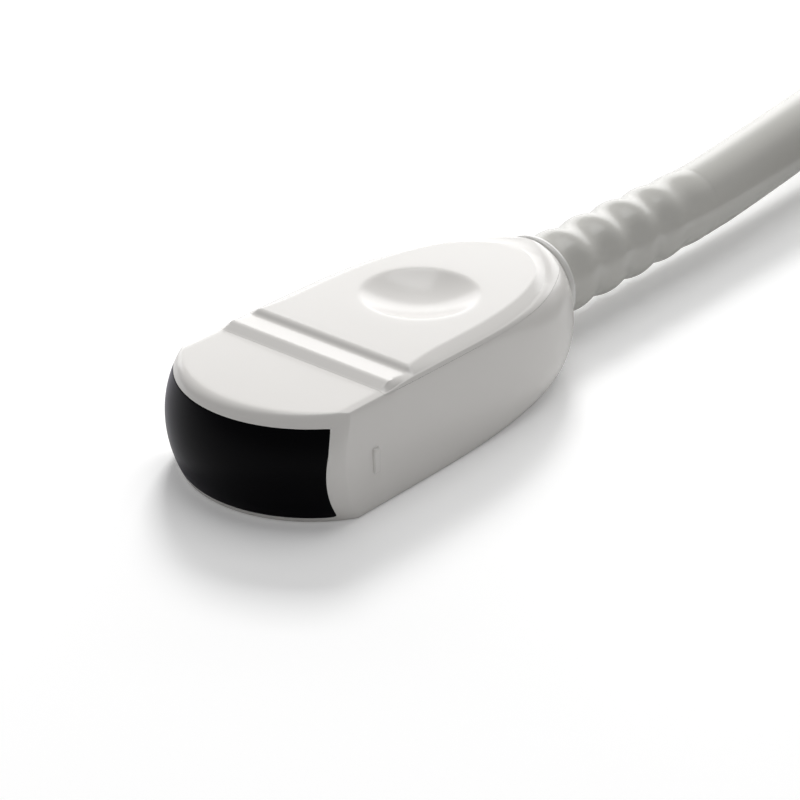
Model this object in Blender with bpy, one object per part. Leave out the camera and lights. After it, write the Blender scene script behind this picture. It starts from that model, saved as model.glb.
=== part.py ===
"""Micro-convex ultrasound transducer probe with its lead, coil and plug.

The probe lies on its flat back. X runs across it, Y from the acoustic lens
towards the lead, Z up. Lengths are in metres. Every piece is built with Y = 0
at the front of the nose and is then moved so that the origin lies under the
middle of the probe.
"""
import math

import bmesh
import bpy
from mathutils import Vector

MM = 0.001

# Fits
GAP = 0.3 * MM
SCREW_CLEARANCE = 0.3 * MM

# Housing, driving sizes
BODY_WIDTH = 30.1 * MM
BODY_LENGTH = 61.2 * MM
BODY_HEIGHT = 15.4 * MM
WALL = 1.6 * MM
FLOOR = 1.2 * MM
EDGE_TUCK = 1.25 * MM
FOOT_TUCK = 0.45 * MM
BELLY_HEIGHT = 1.5 * MM
NECK_RADIUS = 7.1 * MM
NECK_DROP = 0.1 * MM
NECK_WALL = 1.9 * MM
TAPER_LENGTH = 31.2 * MM
FOOT_TAPER_LENGTH = 41.2 * MM
LIFT_LENGTH = 9.2 * MM

# Drops from the top of the pad
RIM_DROP = 0.75 * MM
NOSE_RIM_DROP = 1.1 * MM
SEAM_DROP = 1.3 * MM
NOSE_DROP = 0.95 * MM
STEP_ONE_DROP = 0.25 * MM
STEP_TWO_DROP = 0.6 * MM

# Front face, a barrel about an upright axis
FACE_SLACK = 2.35 * MM
FACE_CROWN = 1.3 * MM
WINDOW_SIDE = 1.85 * MM
WINDOW_LOW = 0.8 * MM
WINDOW_LIP = 1.4 * MM
WINDOW_CORNER = 1.0 * MM
EDGE_ROUND = 1.1 * MM
TOP_ROUND = 0.8 * MM
LIP_ROUND = 0.25 * MM
NOSE_WALL = 2.8 * MM
BEAM_FRONT = 1.5 * MM
BEAM_REAR = 2.3 * MM
BEAM_DEPTH = 0.9 * MM

# Grip steps and the thumb dish on the cover
STEP_ONE_FOOT = 14.77 * MM
STEP_ONE_CREST = 16.5 * MM
STEP_TWO_FOOT = 19.96 * MM
STEP_TWO_CREST = 20.86 * MM
PAD_END_LENGTH = 3.4 * MM
PAD_FADE_LENGTH = 1.6 * MM
PAD_ROUND_LENGTH = 8.0 * MM
PAD_SPREAD_LENGTH = 6.0 * MM
DISH_Y = 37.85 * MM
DISH_RADIUS = 7.8 * MM
DISH_DEPTH = 1.6 * MM
DISH_WALL = 1.1 * MM
RIB_WALL = 0.9 * MM
RIB_DEPTH = 1.3 * MM
RIB_LENGTH = 12.0 * MM
SEAL_INSET = 0.7 * MM
SEAL_DEPTH = 1.1 * MM
SEAL_WIDTH = 0.65 * MM
SEAL_START_LENGTH = 0.75 * MM
SEAL_END_LENGTH = 3.8 * MM
MARK_Y = 12.1 * MM
MARK_HEIGHT = 6.75 * MM
MARK_LENGTH = 3.4 * MM
MARK_WIDTH = 1.2 * MM
MARK_PROUD = 0.3 * MM

# Acoustic stack behind the lens
LENS_SETBACK = 0.2 * MM
LENS_WALL = 1.3 * MM
LENS_FLANGE = 5.6 * MM
MATCHING_WALL = 0.4 * MM
ELEMENT_WALL = 0.6 * MM
ELEMENT_COUNT = 48
ELEMENT_KERF = 0.08 * MM
KERF_DEPTH = 0.75
FLEX_WALL = 0.2 * MM
FLEX_BEND_HALF = 8.8 * MM
FLEX_BEND_REACH = 0.4 * MM
STACK_HALF_ANGLE = math.radians(45.0)
STACK_MARGIN = 2.05 * MM
BACKING_LENGTH = 8.7 * MM
FRAME_INSET = 4.0 * MM
FRAME_LENGTH = 3.3 * MM
FRAME_SIDE = 1.15 * MM
FRAME_CORNER = 1.0 * MM
FRAME_HOLE_CORNER = 0.2 * MM

# Board and its fittings
BOARD_START = 17.5 * MM
BOARD_LENGTH = 25.5 * MM
BOARD_HALF = 9.8 * MM
BOARD_DROP = 1.7 * MM
BOARD_WALL = 1.0 * MM
BOSS_X = 7.6 * MM
BOSS_YS = (25.0 * MM, 33.0 * MM)
BOSS_RADIUS = 1.7 * MM
SCREW_RADIUS = 0.6 * MM
SCREW_HEAD_RADIUS = 1.25 * MM
SCREW_HEAD_HEIGHT = 0.9 * MM
SCREW_BITE = 3.6 * MM
SOCKET_INSET = 0.7 * MM
SOCKET_LENGTH = 3.2 * MM
SOCKET_HALF = 8.0 * MM
SOCKET_HEIGHT = 1.6 * MM
SOCKET_CHAMFER = 0.4 * MM
COMB_INSET = 7.0 * MM
COMB_LENGTH = 5.5 * MM
COMB_HALF = 8.4 * MM
COMB_HEIGHT = 1.1 * MM
COMB_TOOTH = 0.35 * MM
COMB_TEETH = 14
CAN_REACH = 4.3 * MM
CAN_FLOOR_CLEAR = 1.8 * MM
CAN_WALL = 0.3 * MM
CAN_SIDE_CLEAR = 2.45 * MM
CAN_INSET = 1.1 * MM
CAN_LENGTH = 29.6 * MM
CAN_CORNER = 0.1 * MM

# Cable core, clamp, neck and strain relief
CORE_RADIUS = 3.0 * MM
CORE_LENGTH = 47.3 * MM
FERRULE_WALL = 0.7 * MM
FERRULE_LENGTH = 3.7 * MM
CLAMP_INSET = 3.2 * MM
CLAMP_LENGTH = 3.0 * MM
CLAMP_HALF = 8.6 * MM
CLAMP_SCREW_X = 6.9 * MM
CLAMP_EAR = 1.5 * MM
CLAMP_WALL = 1.0 * MM
FLANGE_RADIUS = 5.6 * MM
FLANGE_WALL = 1.3 * MM
SPIGOT_RADIUS = 4.6 * MM
COLLAR_WIDTH = 1.6 * MM
COLLAR_EDGE = 0.35 * MM
COLLAR_END_RADIUS = 6.85 * MM
RELIEF_LENGTH = 36.6 * MM
RELIEF_RADIUS = 5.75 * MM
RELIEF_TAPER = 0.35 * MM
RING_PITCH = 7.4 * MM
RING_INSET = 4.7 * MM
RING_HEIGHT = 0.3 * MM
RING_FADE = 18.0 * MM

# Lead
CABLE_RADIUS = 5.4 * MM
LEAD_ROUTE = (
    (0.0, 0.3, 8.2),
    (-0.1, 6.0, 8.4),
    (-0.5, 14.0, 8.8),
    (-1.1, 24.0, 9.3),
    (-1.8, 34.0, 9.8),
    (-2.5, 44.0, 10.2),
)
TAIL_ROUTE = (
    (0.0, 0.0, 6.7),
    (-0.6, -8.0, 6.8),
    (-2.6, -16.0, 7.0),
    (-6.4, -24.5, 7.3),
    (-10.2, -33.0, 7.7),
    (-12.2, -41.0, 7.9),
    (-12.8, -49.0, 8.0),
    (-12.8, -55.0, 8.0),
)
LEAD_SAMPLES = 8
TAIL_SAMPLES = 9
COIL_X = 50.9 * MM
COIL_Y = 98.6 * MM
COIL_RADIUS = 54.2 * MM
COIL_COLUMNS = 3
COIL_ROW_RISE = math.sqrt(3.0) / 2.0
TIE_WALL = 0.8 * MM
TIE_FIT = 0.5 * MM
COIL_LIFT = TIE_WALL + TIE_FIT
TIE_WIDTH = 9.0 * MM
TIE_ANGLES = (math.radians(65.0), math.radians(305.0))

# Plug at the far end of the lead
PLUG_WIDTH = 36.0 * MM
PLUG_HEIGHT = 16.0 * MM
PLUG_LENGTH = 46.0 * MM
PLUG_WALL = 1.6 * MM
PLUG_CORNER = 3.0 * MM
PLUG_RELIEF_LENGTH = 18.0 * MM
PLUG_RELIEF_RADIUS = 6.8 * MM
PLUG_RELIEF_TIP = 5.6 * MM
PLUG_RELIEF_GROOVE = 0.45 * MM
PLUG_BORE = 4.0 * MM
PLUG_NOSE = 1.2 * MM
PLUG_SHOULDER = 8.0 * MM
PLUG_HEEL = 3.0 * MM
PLUG_FRONT_LAND = 7.6 * MM
PLUG_REAR_LAND = 6.6 * MM
PLUG_ANCHOR = 7.6 * MM
PLUG_CORE_REACH = 9.6 * MM
CUT_PAST = 1.0 * MM
SHROUD_WIDTH = 28.0 * MM
SHROUD_HEIGHT = 9.0 * MM
SHROUD_WALL = 0.8 * MM
SHROUD_LENGTH = 14.0 * MM
SHROUD_PROUD = 8.5 * MM
BLOCK_LENGTH = 8.0 * MM
BLOCK_INSET = 3.0 * MM
BLOCK_CORNER = 0.6 * MM
SHROUD_CORNER = 1.6 * MM
PIN_INSET = 1.2 * MM
PIN_OVERLAP = 2.5 * MM
PIN_COLUMNS = 12
PIN_PITCH = 2.0 * MM
PIN_ROW_PITCH = 2.6 * MM
PIN_HALF = 0.3 * MM
PIN_LENGTH = 16.0 * MM
PLUG_SCREW_Y = 12.0 * MM
PLUG_SCREW_SEAT = 14.2 * MM
PLUG_SCREW_BITE = 11.0 * MM
PLUG_POST_RADIUS = 2.4 * MM
PLUG_SCREW_X = 14.1 * MM

# Facets
RING_LOW_STEPS = 3
RING_HIGH_STEPS = 5
ACROSS_PARTS = (0.0, 0.35, 0.65, 0.88)
FACE_STEPS = 18
ROUND_STEPS = 20
SMALL_STEPS = 10

# Places worked out from the sizes above
HALF_WIDTH = BODY_WIDTH / 2
RIM_HEIGHT = BODY_HEIGHT - RIM_DROP
NOSE_RIM_HEIGHT = BODY_HEIGHT - NOSE_RIM_DROP
SEAM_HEIGHT = BODY_HEIGHT - SEAM_DROP
COVER_LOW = SEAM_HEIGHT + GAP
NOSE_TOP = BODY_HEIGHT - NOSE_DROP
STEP_ONE_TOP = BODY_HEIGHT - STEP_ONE_DROP
STEP_TWO_LOW = BODY_HEIGHT - STEP_TWO_DROP
AXIS_HEIGHT = BODY_HEIGHT - NECK_RADIUS - NECK_DROP
TAPER_START = BODY_LENGTH - TAPER_LENGTH
FOOT_TAPER_START = BODY_LENGTH - FOOT_TAPER_LENGTH
LIFT_START = BODY_LENGTH - LIFT_LENGTH
PAD_END = BODY_LENGTH - PAD_END_LENGTH
PAD_FADE = BODY_LENGTH - PAD_FADE_LENGTH
SEAL_START = STEP_ONE_FOOT + SEAL_START_LENGTH
SEAL_END = BODY_LENGTH - SEAL_END_LENGTH
NECK_INSIDE = BODY_LENGTH - NECK_WALL
FACE_RADIUS = HALF_WIDTH + FACE_SLACK
WINDOW_HALF = HALF_WIDTH - WINDOW_SIDE
WINDOW_HIGH = NOSE_RIM_HEIGHT - WINDOW_LIP
FACE_MIDDLE = (WINDOW_LOW + WINDOW_HIGH) / 2
LENS_FRONT = LENS_SETBACK - FACE_CROWN
LENS_INNER = FACE_RADIUS - LENS_SETBACK - LENS_WALL
OUTER_LAYER = LENS_INNER - GAP
INNER_LAYER = OUTER_LAYER - MATCHING_WALL - GAP
ELEMENT_OUTER = INNER_LAYER - MATCHING_WALL - GAP
FLEX_OUTER = ELEMENT_OUTER - ELEMENT_WALL - GAP
BACKING_RADIUS = FLEX_OUTER - FLEX_WALL - GAP
BACKING_START = FACE_RADIUS - BACKING_RADIUS
BACKING_END = BACKING_START + BACKING_LENGTH
STACK_LOW = WINDOW_LOW + STACK_MARGIN
STACK_HIGH = WINDOW_HIGH - STACK_MARGIN
STACK_RISE = (STACK_HIGH - STACK_LOW) / 2
FRAME_START = BACKING_START + FRAME_INSET
FRAME_END = FRAME_START + FRAME_LENGTH
FRAME_HALF = HALF_WIDTH - WALL - FRAME_SIDE
FRAME_LOW = FLOOR + GAP
FRAME_HIGH = NOSE_RIM_HEIGHT - WALL - GAP
BOARD_END = BOARD_START + BOARD_LENGTH
BOARD_LOW = AXIS_HEIGHT - BOARD_DROP
BOARD_HIGH = BOARD_LOW + BOARD_WALL
SOCKET_START = BOARD_START + SOCKET_INSET
SOCKET_END = SOCKET_START + SOCKET_LENGTH
COMB_START = BOARD_END - COMB_INSET
COMB_END = COMB_START + COMB_LENGTH
CAN_HALF = HALF_WIDTH - WALL - CAN_SIDE_CLEAR
CAN_LOW = FLOOR + CAN_FLOOR_CLEAR
CAN_HIGH = BOARD_HIGH + CAN_REACH
CAN_START = BOARD_START - CAN_INSET
CAN_END = CAN_START + CAN_LENGTH
CLAMP_END = NECK_INSIDE - CLAMP_INSET
CLAMP_START = CLAMP_END - CLAMP_LENGTH
FERRULE_START = (CLAMP_START + CLAMP_END - FERRULE_LENGTH) / 2
FERRULE_RADIUS = CORE_RADIUS + GAP + FERRULE_WALL
COLLAR_START = BODY_LENGTH + GAP
COLLAR_END = COLLAR_START + COLLAR_WIDTH
RELIEF_FACE = COLLAR_END + GAP
RELIEF_END = RELIEF_FACE + RELIEF_LENGTH
CORE_END = RELIEF_END - GAP
CORE_START = CORE_END - CORE_LENGTH
RING_CREST_Y = RELIEF_FACE + RING_INSET
RING_FADE_Y = RELIEF_END - RING_FADE
ORIGIN_Y = (RELIEF_END + LENS_FRONT) / 2
COIL_CENTRE = Vector((COIL_X, RELIEF_END + COIL_Y, 0.0))
COIL_WIDTH = COIL_COLUMNS * 2 * CABLE_RADIUS
COIL_HEIGHT = 2 * CABLE_RADIUS * (1 + COIL_ROW_RISE)
COIL_OUTER = COIL_RADIUS + COIL_WIDTH / 2
OUTER_TURN = COIL_OUTER - CABLE_RADIUS


def clear_scene():
    for item in list(bpy.data.objects):
        bpy.data.objects.remove(item)


def material(name, colour, roughness, metallic=0.0):
    made = bpy.data.materials.new(name)
    made.use_nodes = True
    shader = made.node_tree.nodes["Principled BSDF"]
    shader.inputs["Base Color"].default_value = (*colour, 1.0)
    shader.inputs["Roughness"].default_value = roughness
    shader.inputs["Metallic"].default_value = metallic
    return made


def share(value, start, end):
    return min(max((value - start) / (end - start), 0.0), 1.0)


def ease(part):
    return part * part * (3 - 2 * part)


def mix(first, second, part):
    return first + (second - first) * part


def add_object(name, mesh, look, smooth_angle=30.0):
    """Adds a finished mesh as an object in the probe's own frame."""
    made = bpy.data.objects.new(name, mesh)
    made.location = (0.0, -ORIGIN_Y, 0.0)
    bpy.context.scene.collection.objects.link(made)
    if look is not None:
        mesh.materials.append(look)
    mesh.shade_smooth()
    mesh.set_sharp_from_angle(angle=math.radians(smooth_angle))
    return made


def mesh_from(name, shape):
    bmesh.ops.recalc_face_normals(shape, faces=shape.faces)
    mesh = bpy.data.meshes.new(name)
    shape.to_mesh(mesh)
    shape.free()
    return mesh


def as_guide(item):
    item.hide_render = True
    item.display_type = "WIRE"
    return item


def combine(item, tool, operation):
    """Cuts, joins or keeps an object by another that stays out of the model."""
    step = item.modifiers.new(tool.name, "BOOLEAN")
    step.operation = operation
    step.object = as_guide(tool)
    step.solver = "EXACT"


def loft_into(shape, rings, close_start=True, close_end=True):
    """Joins closed rings of equal count by quads, and closes the two ends."""
    rows = [[shape.verts.new(point) for point in ring] for ring in rings]
    for near, far in zip(rows, rows[1:]):
        for index, corner in enumerate(near):
            following = (index + 1) % len(near)
            shape.faces.new((corner, near[following], far[following], far[index]))
    if close_start:
        shape.faces.new(rows[0])
    if close_end:
        shape.faces.new(rows[-1])
    return rows


def loft(name, rings, look):
    shape = bmesh.new()
    loft_into(shape, rings)
    return add_object(name, mesh_from(name, shape), look)


def circle(centre, radius, steps, axis="Z"):
    points = []
    for index in range(steps):
        angle = 2 * math.pi * (index + 0.5) / steps
        across = radius * math.cos(angle)
        along = radius * math.sin(angle)
        turned = {
            "X": (0.0, across, along),
            "Y": (across, 0.0, along),
            "Z": (across, along, 0.0),
        }
        points.append(Vector(centre) + Vector(turned[axis]))
    return points


def rounded(half, low, high, corner, steps=3):
    """Outline of a rectangle with round corners, as pairs across and up."""
    points = []
    corners = (
        (half - corner, high - corner, 0.0),
        (-half + corner, high - corner, 90.0),
        (-half + corner, low + corner, 180.0),
        (half - corner, low + corner, 270.0),
    )
    for across, up, start in corners:
        for index in range(steps + 1):
            angle = math.radians(start + 90.0 * index / steps)
            points.append((across + corner * math.cos(angle), up + corner * math.sin(angle)))
    return points


def prism_y(name, outline, start, end, look):
    rings = [[Vector((x, y, z)) for x, z in outline] for y in (start, end)]
    return loft(name, rings, look)


def prism_z(name, outline, low, high, look):
    rings = [[Vector((x, y, z)) for x, y in outline] for z in (low, high)]
    return loft(name, rings, look)


def block_into(shape, low, high):
    rings = []
    for z in (low[2], high[2]):
        rings.append([
            Vector((low[0], low[1], z)),
            Vector((high[0], low[1], z)),
            Vector((high[0], high[1], z)),
            Vector((low[0], high[1], z)),
        ])
    loft_into(shape, rings)


def block(name, low, high, look):
    shape = bmesh.new()
    block_into(shape, low, high)
    return add_object(name, mesh_from(name, shape), look)


def cylinder_into(shape, centre, radius, low, high, steps):
    rings = [circle((centre[0], centre[1], z), radius, steps) for z in (low, high)]
    loft_into(shape, rings)


def cylinder_y(name, radius, start, end, look, steps=ROUND_STEPS, x=0.0, z=AXIS_HEIGHT):
    rings = [circle((x, y, z), radius, steps, "Y") for y in (start, end)]
    return loft(name, rings, look)


def hoop(name, outer, inner, look):
    """Closed body between an outer and an inner run of rings of equal counts."""
    shape = bmesh.new()
    count = len(outer[0])
    loop = outer + inner[::-1]
    rows = [[shape.verts.new(point) for point in ring] for ring in loop]
    for row, after in zip(rows, rows[1:] + rows[:1]):
        for index in range(count):
            following = (index + 1) % count
            shape.faces.new((row[index], row[following], after[following], after[index]))
    return add_object(name, mesh_from(name, shape), look)


def turned(name, profile, look, steps=ROUND_STEPS, x=0.0, z=AXIS_HEIGHT):
    """Body turned about a line along Y from a closed profile of radius and Y."""
    outer = [circle((x, y, z), radius, steps, "Y") for radius, y in profile]
    return hoop(name, outer, [], look)


# Housing sections

def section(y):
    """Half sizes and heights of the housing's cross-section at one place."""
    rear = share(y, TAPER_START, BODY_LENGTH)
    foot = share(y, FOOT_TAPER_START, BODY_LENGTH)
    lift = share(y, LIFT_START, BODY_LENGTH)
    rim = mix(NOSE_RIM_HEIGHT, RIM_HEIGHT, ease(share(y, STEP_ONE_FOOT, STEP_TWO_CREST)))
    return {
        "widest": mix(HALF_WIDTH, NECK_RADIUS, rear ** 4.5),
        "edge": (HALF_WIDTH - EDGE_TUCK) * (1 - rear ** 2.7) ** 0.77,
        "foot": (HALF_WIDTH - FOOT_TUCK) * (1 - foot ** 3.2) ** 0.85,
        "low": (AXIS_HEIGHT - NECK_RADIUS) * lift ** 2,
        "high": mix(rim, AXIS_HEIGHT + NECK_RADIUS, ease(lift)),
        "belly": mix(BELLY_HEIGHT, AXIS_HEIGHT, foot ** 1.3),
    }


def side_outline(y, inset=0.0, low_inset=0.0, high=None):
    """Right half of a section from the middle of the floor to the top edge."""
    part = section(y)
    low = part["low"] + low_inset
    top = part["high"] - inset if high is None else high
    belly = max(part["belly"], low + inset)
    widest = part["widest"] - inset
    edge = max(part["edge"] - inset, 0.15 * widest)
    foot = max(part["foot"] - inset, 0.15 * widest)
    points = [(foot * part, low) for part in ACROSS_PARTS]
    for index in range(RING_LOW_STEPS + 1):
        angle = math.pi / 2 * index / RING_LOW_STEPS
        points.append((
            foot + (widest - foot) * math.sin(angle),
            belly - (belly - low) * math.cos(angle),
        ))
    for index in range(1, RING_HIGH_STEPS + 1):
        angle = math.pi / 2 * index / RING_HIGH_STEPS
        points.append((
            edge + (widest - edge) * math.cos(angle),
            belly + (top - belly) * math.sin(angle),
        ))
    return points


def top_height(y):
    """Height along the middle line: nose, two grip steps, pad and shoulder."""
    rim = section(y)["high"]
    stations = (
        (STEP_ONE_FOOT, NOSE_TOP),
        (STEP_ONE_CREST, STEP_ONE_TOP),
        (STEP_TWO_FOOT, STEP_TWO_LOW),
        (STEP_TWO_CREST, BODY_HEIGHT),
        (PAD_END, BODY_HEIGHT),
        (PAD_FADE, rim),
    )
    if y <= STEP_ONE_FOOT:
        return NOSE_TOP
    for (near, low), (far, high) in zip(stations, stations[1:]):
        if y <= far:
            return max(mix(low, high, share(y, near, far)), rim)
    return rim


def pad_half(y):
    """Half width of the flat pad on top, which closes round at the rear."""
    edge = section(y)["edge"]
    front = 0.08 * (1 - ease(share(y, STEP_ONE_CREST, STEP_TWO_CREST + PAD_SPREAD_LENGTH)))
    closing = share(y, PAD_END - PAD_ROUND_LENGTH, PAD_END)
    return max(edge * (0.87 + front) * math.sqrt(1 - closing ** 3), 0.2 * edge)


def mirrored(right):
    """Full ring from a right half that starts and ends on the middle line."""
    return right + [(-x, z) for x, z in right[-2:0:-1]]


def crown(z):
    return FACE_CROWN * (1 - ((z - FACE_MIDDLE) / (WINDOW_HIGH - FACE_MIDDLE)) ** 2)


def face_y(x, z):
    """How far back the barrel-shaped front face lies at a place on it."""
    radius = FACE_RADIUS + max(crown(z), -FACE_CROWN)
    return FACE_RADIUS - math.sqrt(radius * radius - x * x)


def body_ring(y, tuck=0.0):
    """Outer ring of the housing; near the nose it bends to the front face."""
    right = side_outline(y)
    part = section(y)
    edge = part["edge"]
    pad = pad_half(y)
    right.append((max(edge * 0.965, pad + 0.1 * MM), part["high"] + 0.02 * MM))
    right.append((pad, top_height(y)))
    right += [(pad * part, top_height(y)) for part in ACROSS_PARTS[::-1]]
    fade = 1 - share(y, 0.0, STEP_ONE_FOOT)
    ring = []
    for x, z in mirrored(right):
        inward = 1 - tuck * EDGE_ROUND / HALF_WIDTH
        lowered = tuck * (TOP_ROUND if z > FACE_MIDDLE else -LIP_ROUND)
        height = z - lowered * abs(z - FACE_MIDDLE) / FACE_MIDDLE
        place = x * inward
        ring.append(Vector((place, y + fade * face_y(place, height), height)))
    return ring


def body_stations():
    nose = [STEP_ONE_FOOT * part for part in (0.2, 0.4, 0.6, 0.8)]
    grip = [STEP_ONE_FOOT, STEP_ONE_CREST, STEP_TWO_FOOT, STEP_TWO_CREST]
    middle = [mix(STEP_TWO_CREST, TAPER_START, 0.5), TAPER_START]
    parts = (0.15, 0.3, 0.42, 0.52, 0.61, 0.69, 0.76, 0.82, 0.865)
    rear = [mix(TAPER_START, BODY_LENGTH, part) for part in parts]
    return nose + grip + middle + rear + [PAD_END, PAD_FADE, BODY_LENGTH]


def body_shape():
    """Outer form of both shells as one closed body."""
    shape = bmesh.new()
    rings = []
    for part in (0.0, 0.35, 0.7, 0.9):
        ring = body_ring(0.0, 1.0)
        middle = Vector((0.0, 0.0, FACE_MIDDLE))
        shrunk = []
        for point in ring:
            place = middle + (point - middle) * (0.05 + part)
            place.y = face_y(place.x, place.z)
            shrunk.append(place)
        rings.append(shrunk)
    for angle in (0.0, 30.0, 60.0, 90.0):
        turn = math.radians(angle)
        rings.append(body_ring(EDGE_ROUND * (1 - math.cos(turn)), 1 - math.sin(turn)))
    rings += [body_ring(y) for y in body_stations()]
    loft_into(shape, rings)
    return mesh_from("body", shape)


def cavity_shape():
    """Space inside the housing, open above the seam behind the nose."""
    roof = NOSE_RIM_HEIGHT - WALL
    sill = roof - BEAM_DEPTH
    open_top = SEAM_HEIGHT + 2 * GAP
    front = NOSE_WALL
    plan = [
        (front, roof, 1.0),
        (mix(front, STEP_ONE_FOOT, 0.3), roof, 0.8),
        (STEP_ONE_FOOT - BEAM_FRONT, roof, 0.0),
        (STEP_ONE_FOOT - BEAM_FRONT + GAP, sill, 0.0),
        (STEP_ONE_FOOT + BEAM_REAR - GAP, sill, 0.0),
        (STEP_ONE_FOOT + BEAM_REAR, open_top, 0.0),
    ]
    for part in (0.0, 0.3, 0.5, 0.65, 0.78, 0.86):
        plan.append((mix(TAPER_START, BODY_LENGTH, part), open_top, 0.0))
    plan.append((NECK_INSIDE, open_top, 0.0))
    rings = []
    for y, high, bend in plan:
        right = side_outline(y, WALL, FLOOR, high)
        lid = right[-1][0]
        right += [(lid * part, high) for part in ACROSS_PARTS[::-1]]
        ring = []
        for x, z in mirrored(right):
            ring.append(Vector((x, y + bend * max(face_y(x, z), 0.0), z)))
        rings.append(ring)
    shape = bmesh.new()
    loft_into(shape, rings)
    return mesh_from("cavity", shape)


def plan_outline(height, inset, start, end, steps=14):
    """Closed outline of the housing at one height, as pairs across and along."""
    right = []
    for index in range(steps + 1):
        y = mix(start, end, math.sin(math.pi / 2 * index / steps))
        part = section(y)
        rise = share(height, part["belly"], part["high"])
        reach = part["edge"] + (part["widest"] - part["edge"]) * math.sqrt(1 - rise * rise)
        right.append((reach - inset, y))
    return right + [(-x, y) for x, y in right[::-1]]


def screw_ring(x, y, seat, bite):
    """Rings of one pan-head screw from the foot of its shank to its crown."""
    head = seat + SCREW_HEAD_HEIGHT
    steps = (
        (SCREW_RADIUS * 0.6, seat - bite),
        (SCREW_RADIUS, seat - bite + SCREW_RADIUS),
        (SCREW_RADIUS, seat),
        (SCREW_HEAD_RADIUS, seat),
        (SCREW_HEAD_RADIUS, seat + SCREW_HEAD_HEIGHT * 0.6),
        (SCREW_HEAD_RADIUS * 0.7, head),
    )
    return [circle((x, y, z), radius, SMALL_STEPS) for radius, z in steps]


def make_screws(name, places, seat, bite, look):
    """One pan-head screw at each place, numbered in order."""
    for number, (x, y) in enumerate(places, 1):
        loft(f"{name}_{number}", screw_ring(x, y, seat + GAP, bite), look)


def board_screw_places():
    return [(side * BOSS_X, y) for side in (-1, 1) for y in BOSS_YS]


def clamp_screw_places():
    middle = (CLAMP_START + CLAMP_END) / 2
    return [(side * CLAMP_SCREW_X, middle) for side in (-1, 1)]


def housing_posts():
    """Four board posts and the cradle under the cable clamp."""
    shape = bmesh.new()
    for place in board_screw_places():
        cylinder_into(shape, place, BOSS_RADIUS, FLOOR / 2, BOARD_LOW - GAP, SMALL_STEPS)
    rings = []
    for y in (CLAMP_START, CLAMP_END):
        right = side_outline(CLAMP_END, WALL / 2, FLOOR / 2, AXIS_HEIGHT) + [(0.0, AXIS_HEIGHT)]
        rings.append([Vector((x, y, z)) for x, z in mirrored(right)])
    loft_into(shape, rings)
    return add_object("posts", mesh_from("posts", shape), None)


def housing_holes():
    """Screw pilots, the cradle's trough and the bore through the neck."""
    shape = bmesh.new()
    pilot = SCREW_RADIUS + SCREW_CLEARANCE
    for place in board_screw_places():
        low = BOARD_LOW - SCREW_BITE
        cylinder_into(shape, place, pilot, low, BOARD_LOW + GAP, SMALL_STEPS)
    for place in clamp_screw_places():
        low = AXIS_HEIGHT - SCREW_BITE
        cylinder_into(shape, place, pilot, low, AXIS_HEIGHT + GAP, SMALL_STEPS)
    trough = FERRULE_RADIUS + GAP
    rings = [
        circle((0.0, y, AXIS_HEIGHT), radius, ROUND_STEPS, "Y")
        for radius, y in (
            (trough, CLAMP_START - GAP),
            (trough, CLAMP_END + GAP),
        )
    ]
    loft_into(shape, rings)
    bore = [
        circle((0.0, y, AXIS_HEIGHT), SPIGOT_RADIUS + GAP, ROUND_STEPS, "Y")
        for y in (NECK_INSIDE - GAP, BODY_LENGTH + GAP)
    ]
    loft_into(shape, bore)
    return add_object("holes", mesh_from("holes", shape), None)


def orientation_mark():
    """Small upright ridge on the side that tells the user which end is which."""
    centre = section(MARK_Y)["widest"]
    outline = rounded(MARK_WIDTH / 2, -MARK_LENGTH / 2, MARK_LENGTH / 2, MARK_WIDTH * 0.45)
    rings = []
    for x in (centre - WALL / 2, centre + MARK_PROUD * 0.6, centre + MARK_PROUD):
        scale = 0.7 if x > centre + MARK_PROUD * 0.8 else 1.0
        rings.append([
            Vector((x, MARK_Y + across * scale, MARK_HEIGHT + up * scale))
            for across, up in outline
        ])
    return loft("mark", rings, None)


def cover_space():
    """What the cover takes from the body, with the gap round it."""
    return block(
        "cover_space",
        (-BODY_WIDTH, STEP_ONE_FOOT, SEAM_HEIGHT),
        (BODY_WIDTH, BODY_LENGTH + CUT_PAST, BODY_HEIGHT + CUT_PAST),
        None,
    )


def seal_step():
    """Step inside the top of the wall, in which the seal lies."""
    outline = plan_outline(SEAM_HEIGHT, SEAL_INSET, SEAL_START, SEAL_END)
    return prism_z("seal_step", outline, SEAM_HEIGHT - SEAL_DEPTH, BODY_HEIGHT, None)


def make_housing(look):
    housing = add_object("housing", body_shape(), look)
    window = prism_y(
        "window",
        rounded(WINDOW_HALF, WINDOW_LOW, WINDOW_HIGH, WINDOW_CORNER),
        -2 * FACE_CROWN,
        NOSE_WALL + face_y(WINDOW_HALF, FACE_MIDDLE) + LENS_FLANGE / 2,
        None,
    )
    combine(housing, window, "DIFFERENCE")
    combine(housing, add_object("cavity", cavity_shape(), None), "DIFFERENCE")
    combine(housing, cover_space(), "DIFFERENCE")
    combine(housing, seal_step(), "DIFFERENCE")
    combine(housing, housing_posts(), "UNION")
    combine(housing, housing_holes(), "DIFFERENCE")
    combine(housing, orientation_mark(), "UNION")
    return housing


def dish_cutter():
    """Shallow round scoop for the thumb, a slice of a ball."""
    ball = (DISH_RADIUS ** 2 + DISH_DEPTH ** 2) / (2 * DISH_DEPTH)
    middle = Vector((0.0, DISH_Y, BODY_HEIGHT - DISH_DEPTH + ball))
    open_angle = math.asin(DISH_RADIUS / ball) * 1.25
    rings = []
    for part in (0.12, 0.4, 0.7, 1.0):
        angle = open_angle * part
        height = middle.z - ball * math.cos(angle)
        rings.append(circle((0.0, DISH_Y, height), ball * math.sin(angle), 24))
    return loft("dish", rings, None)


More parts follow.
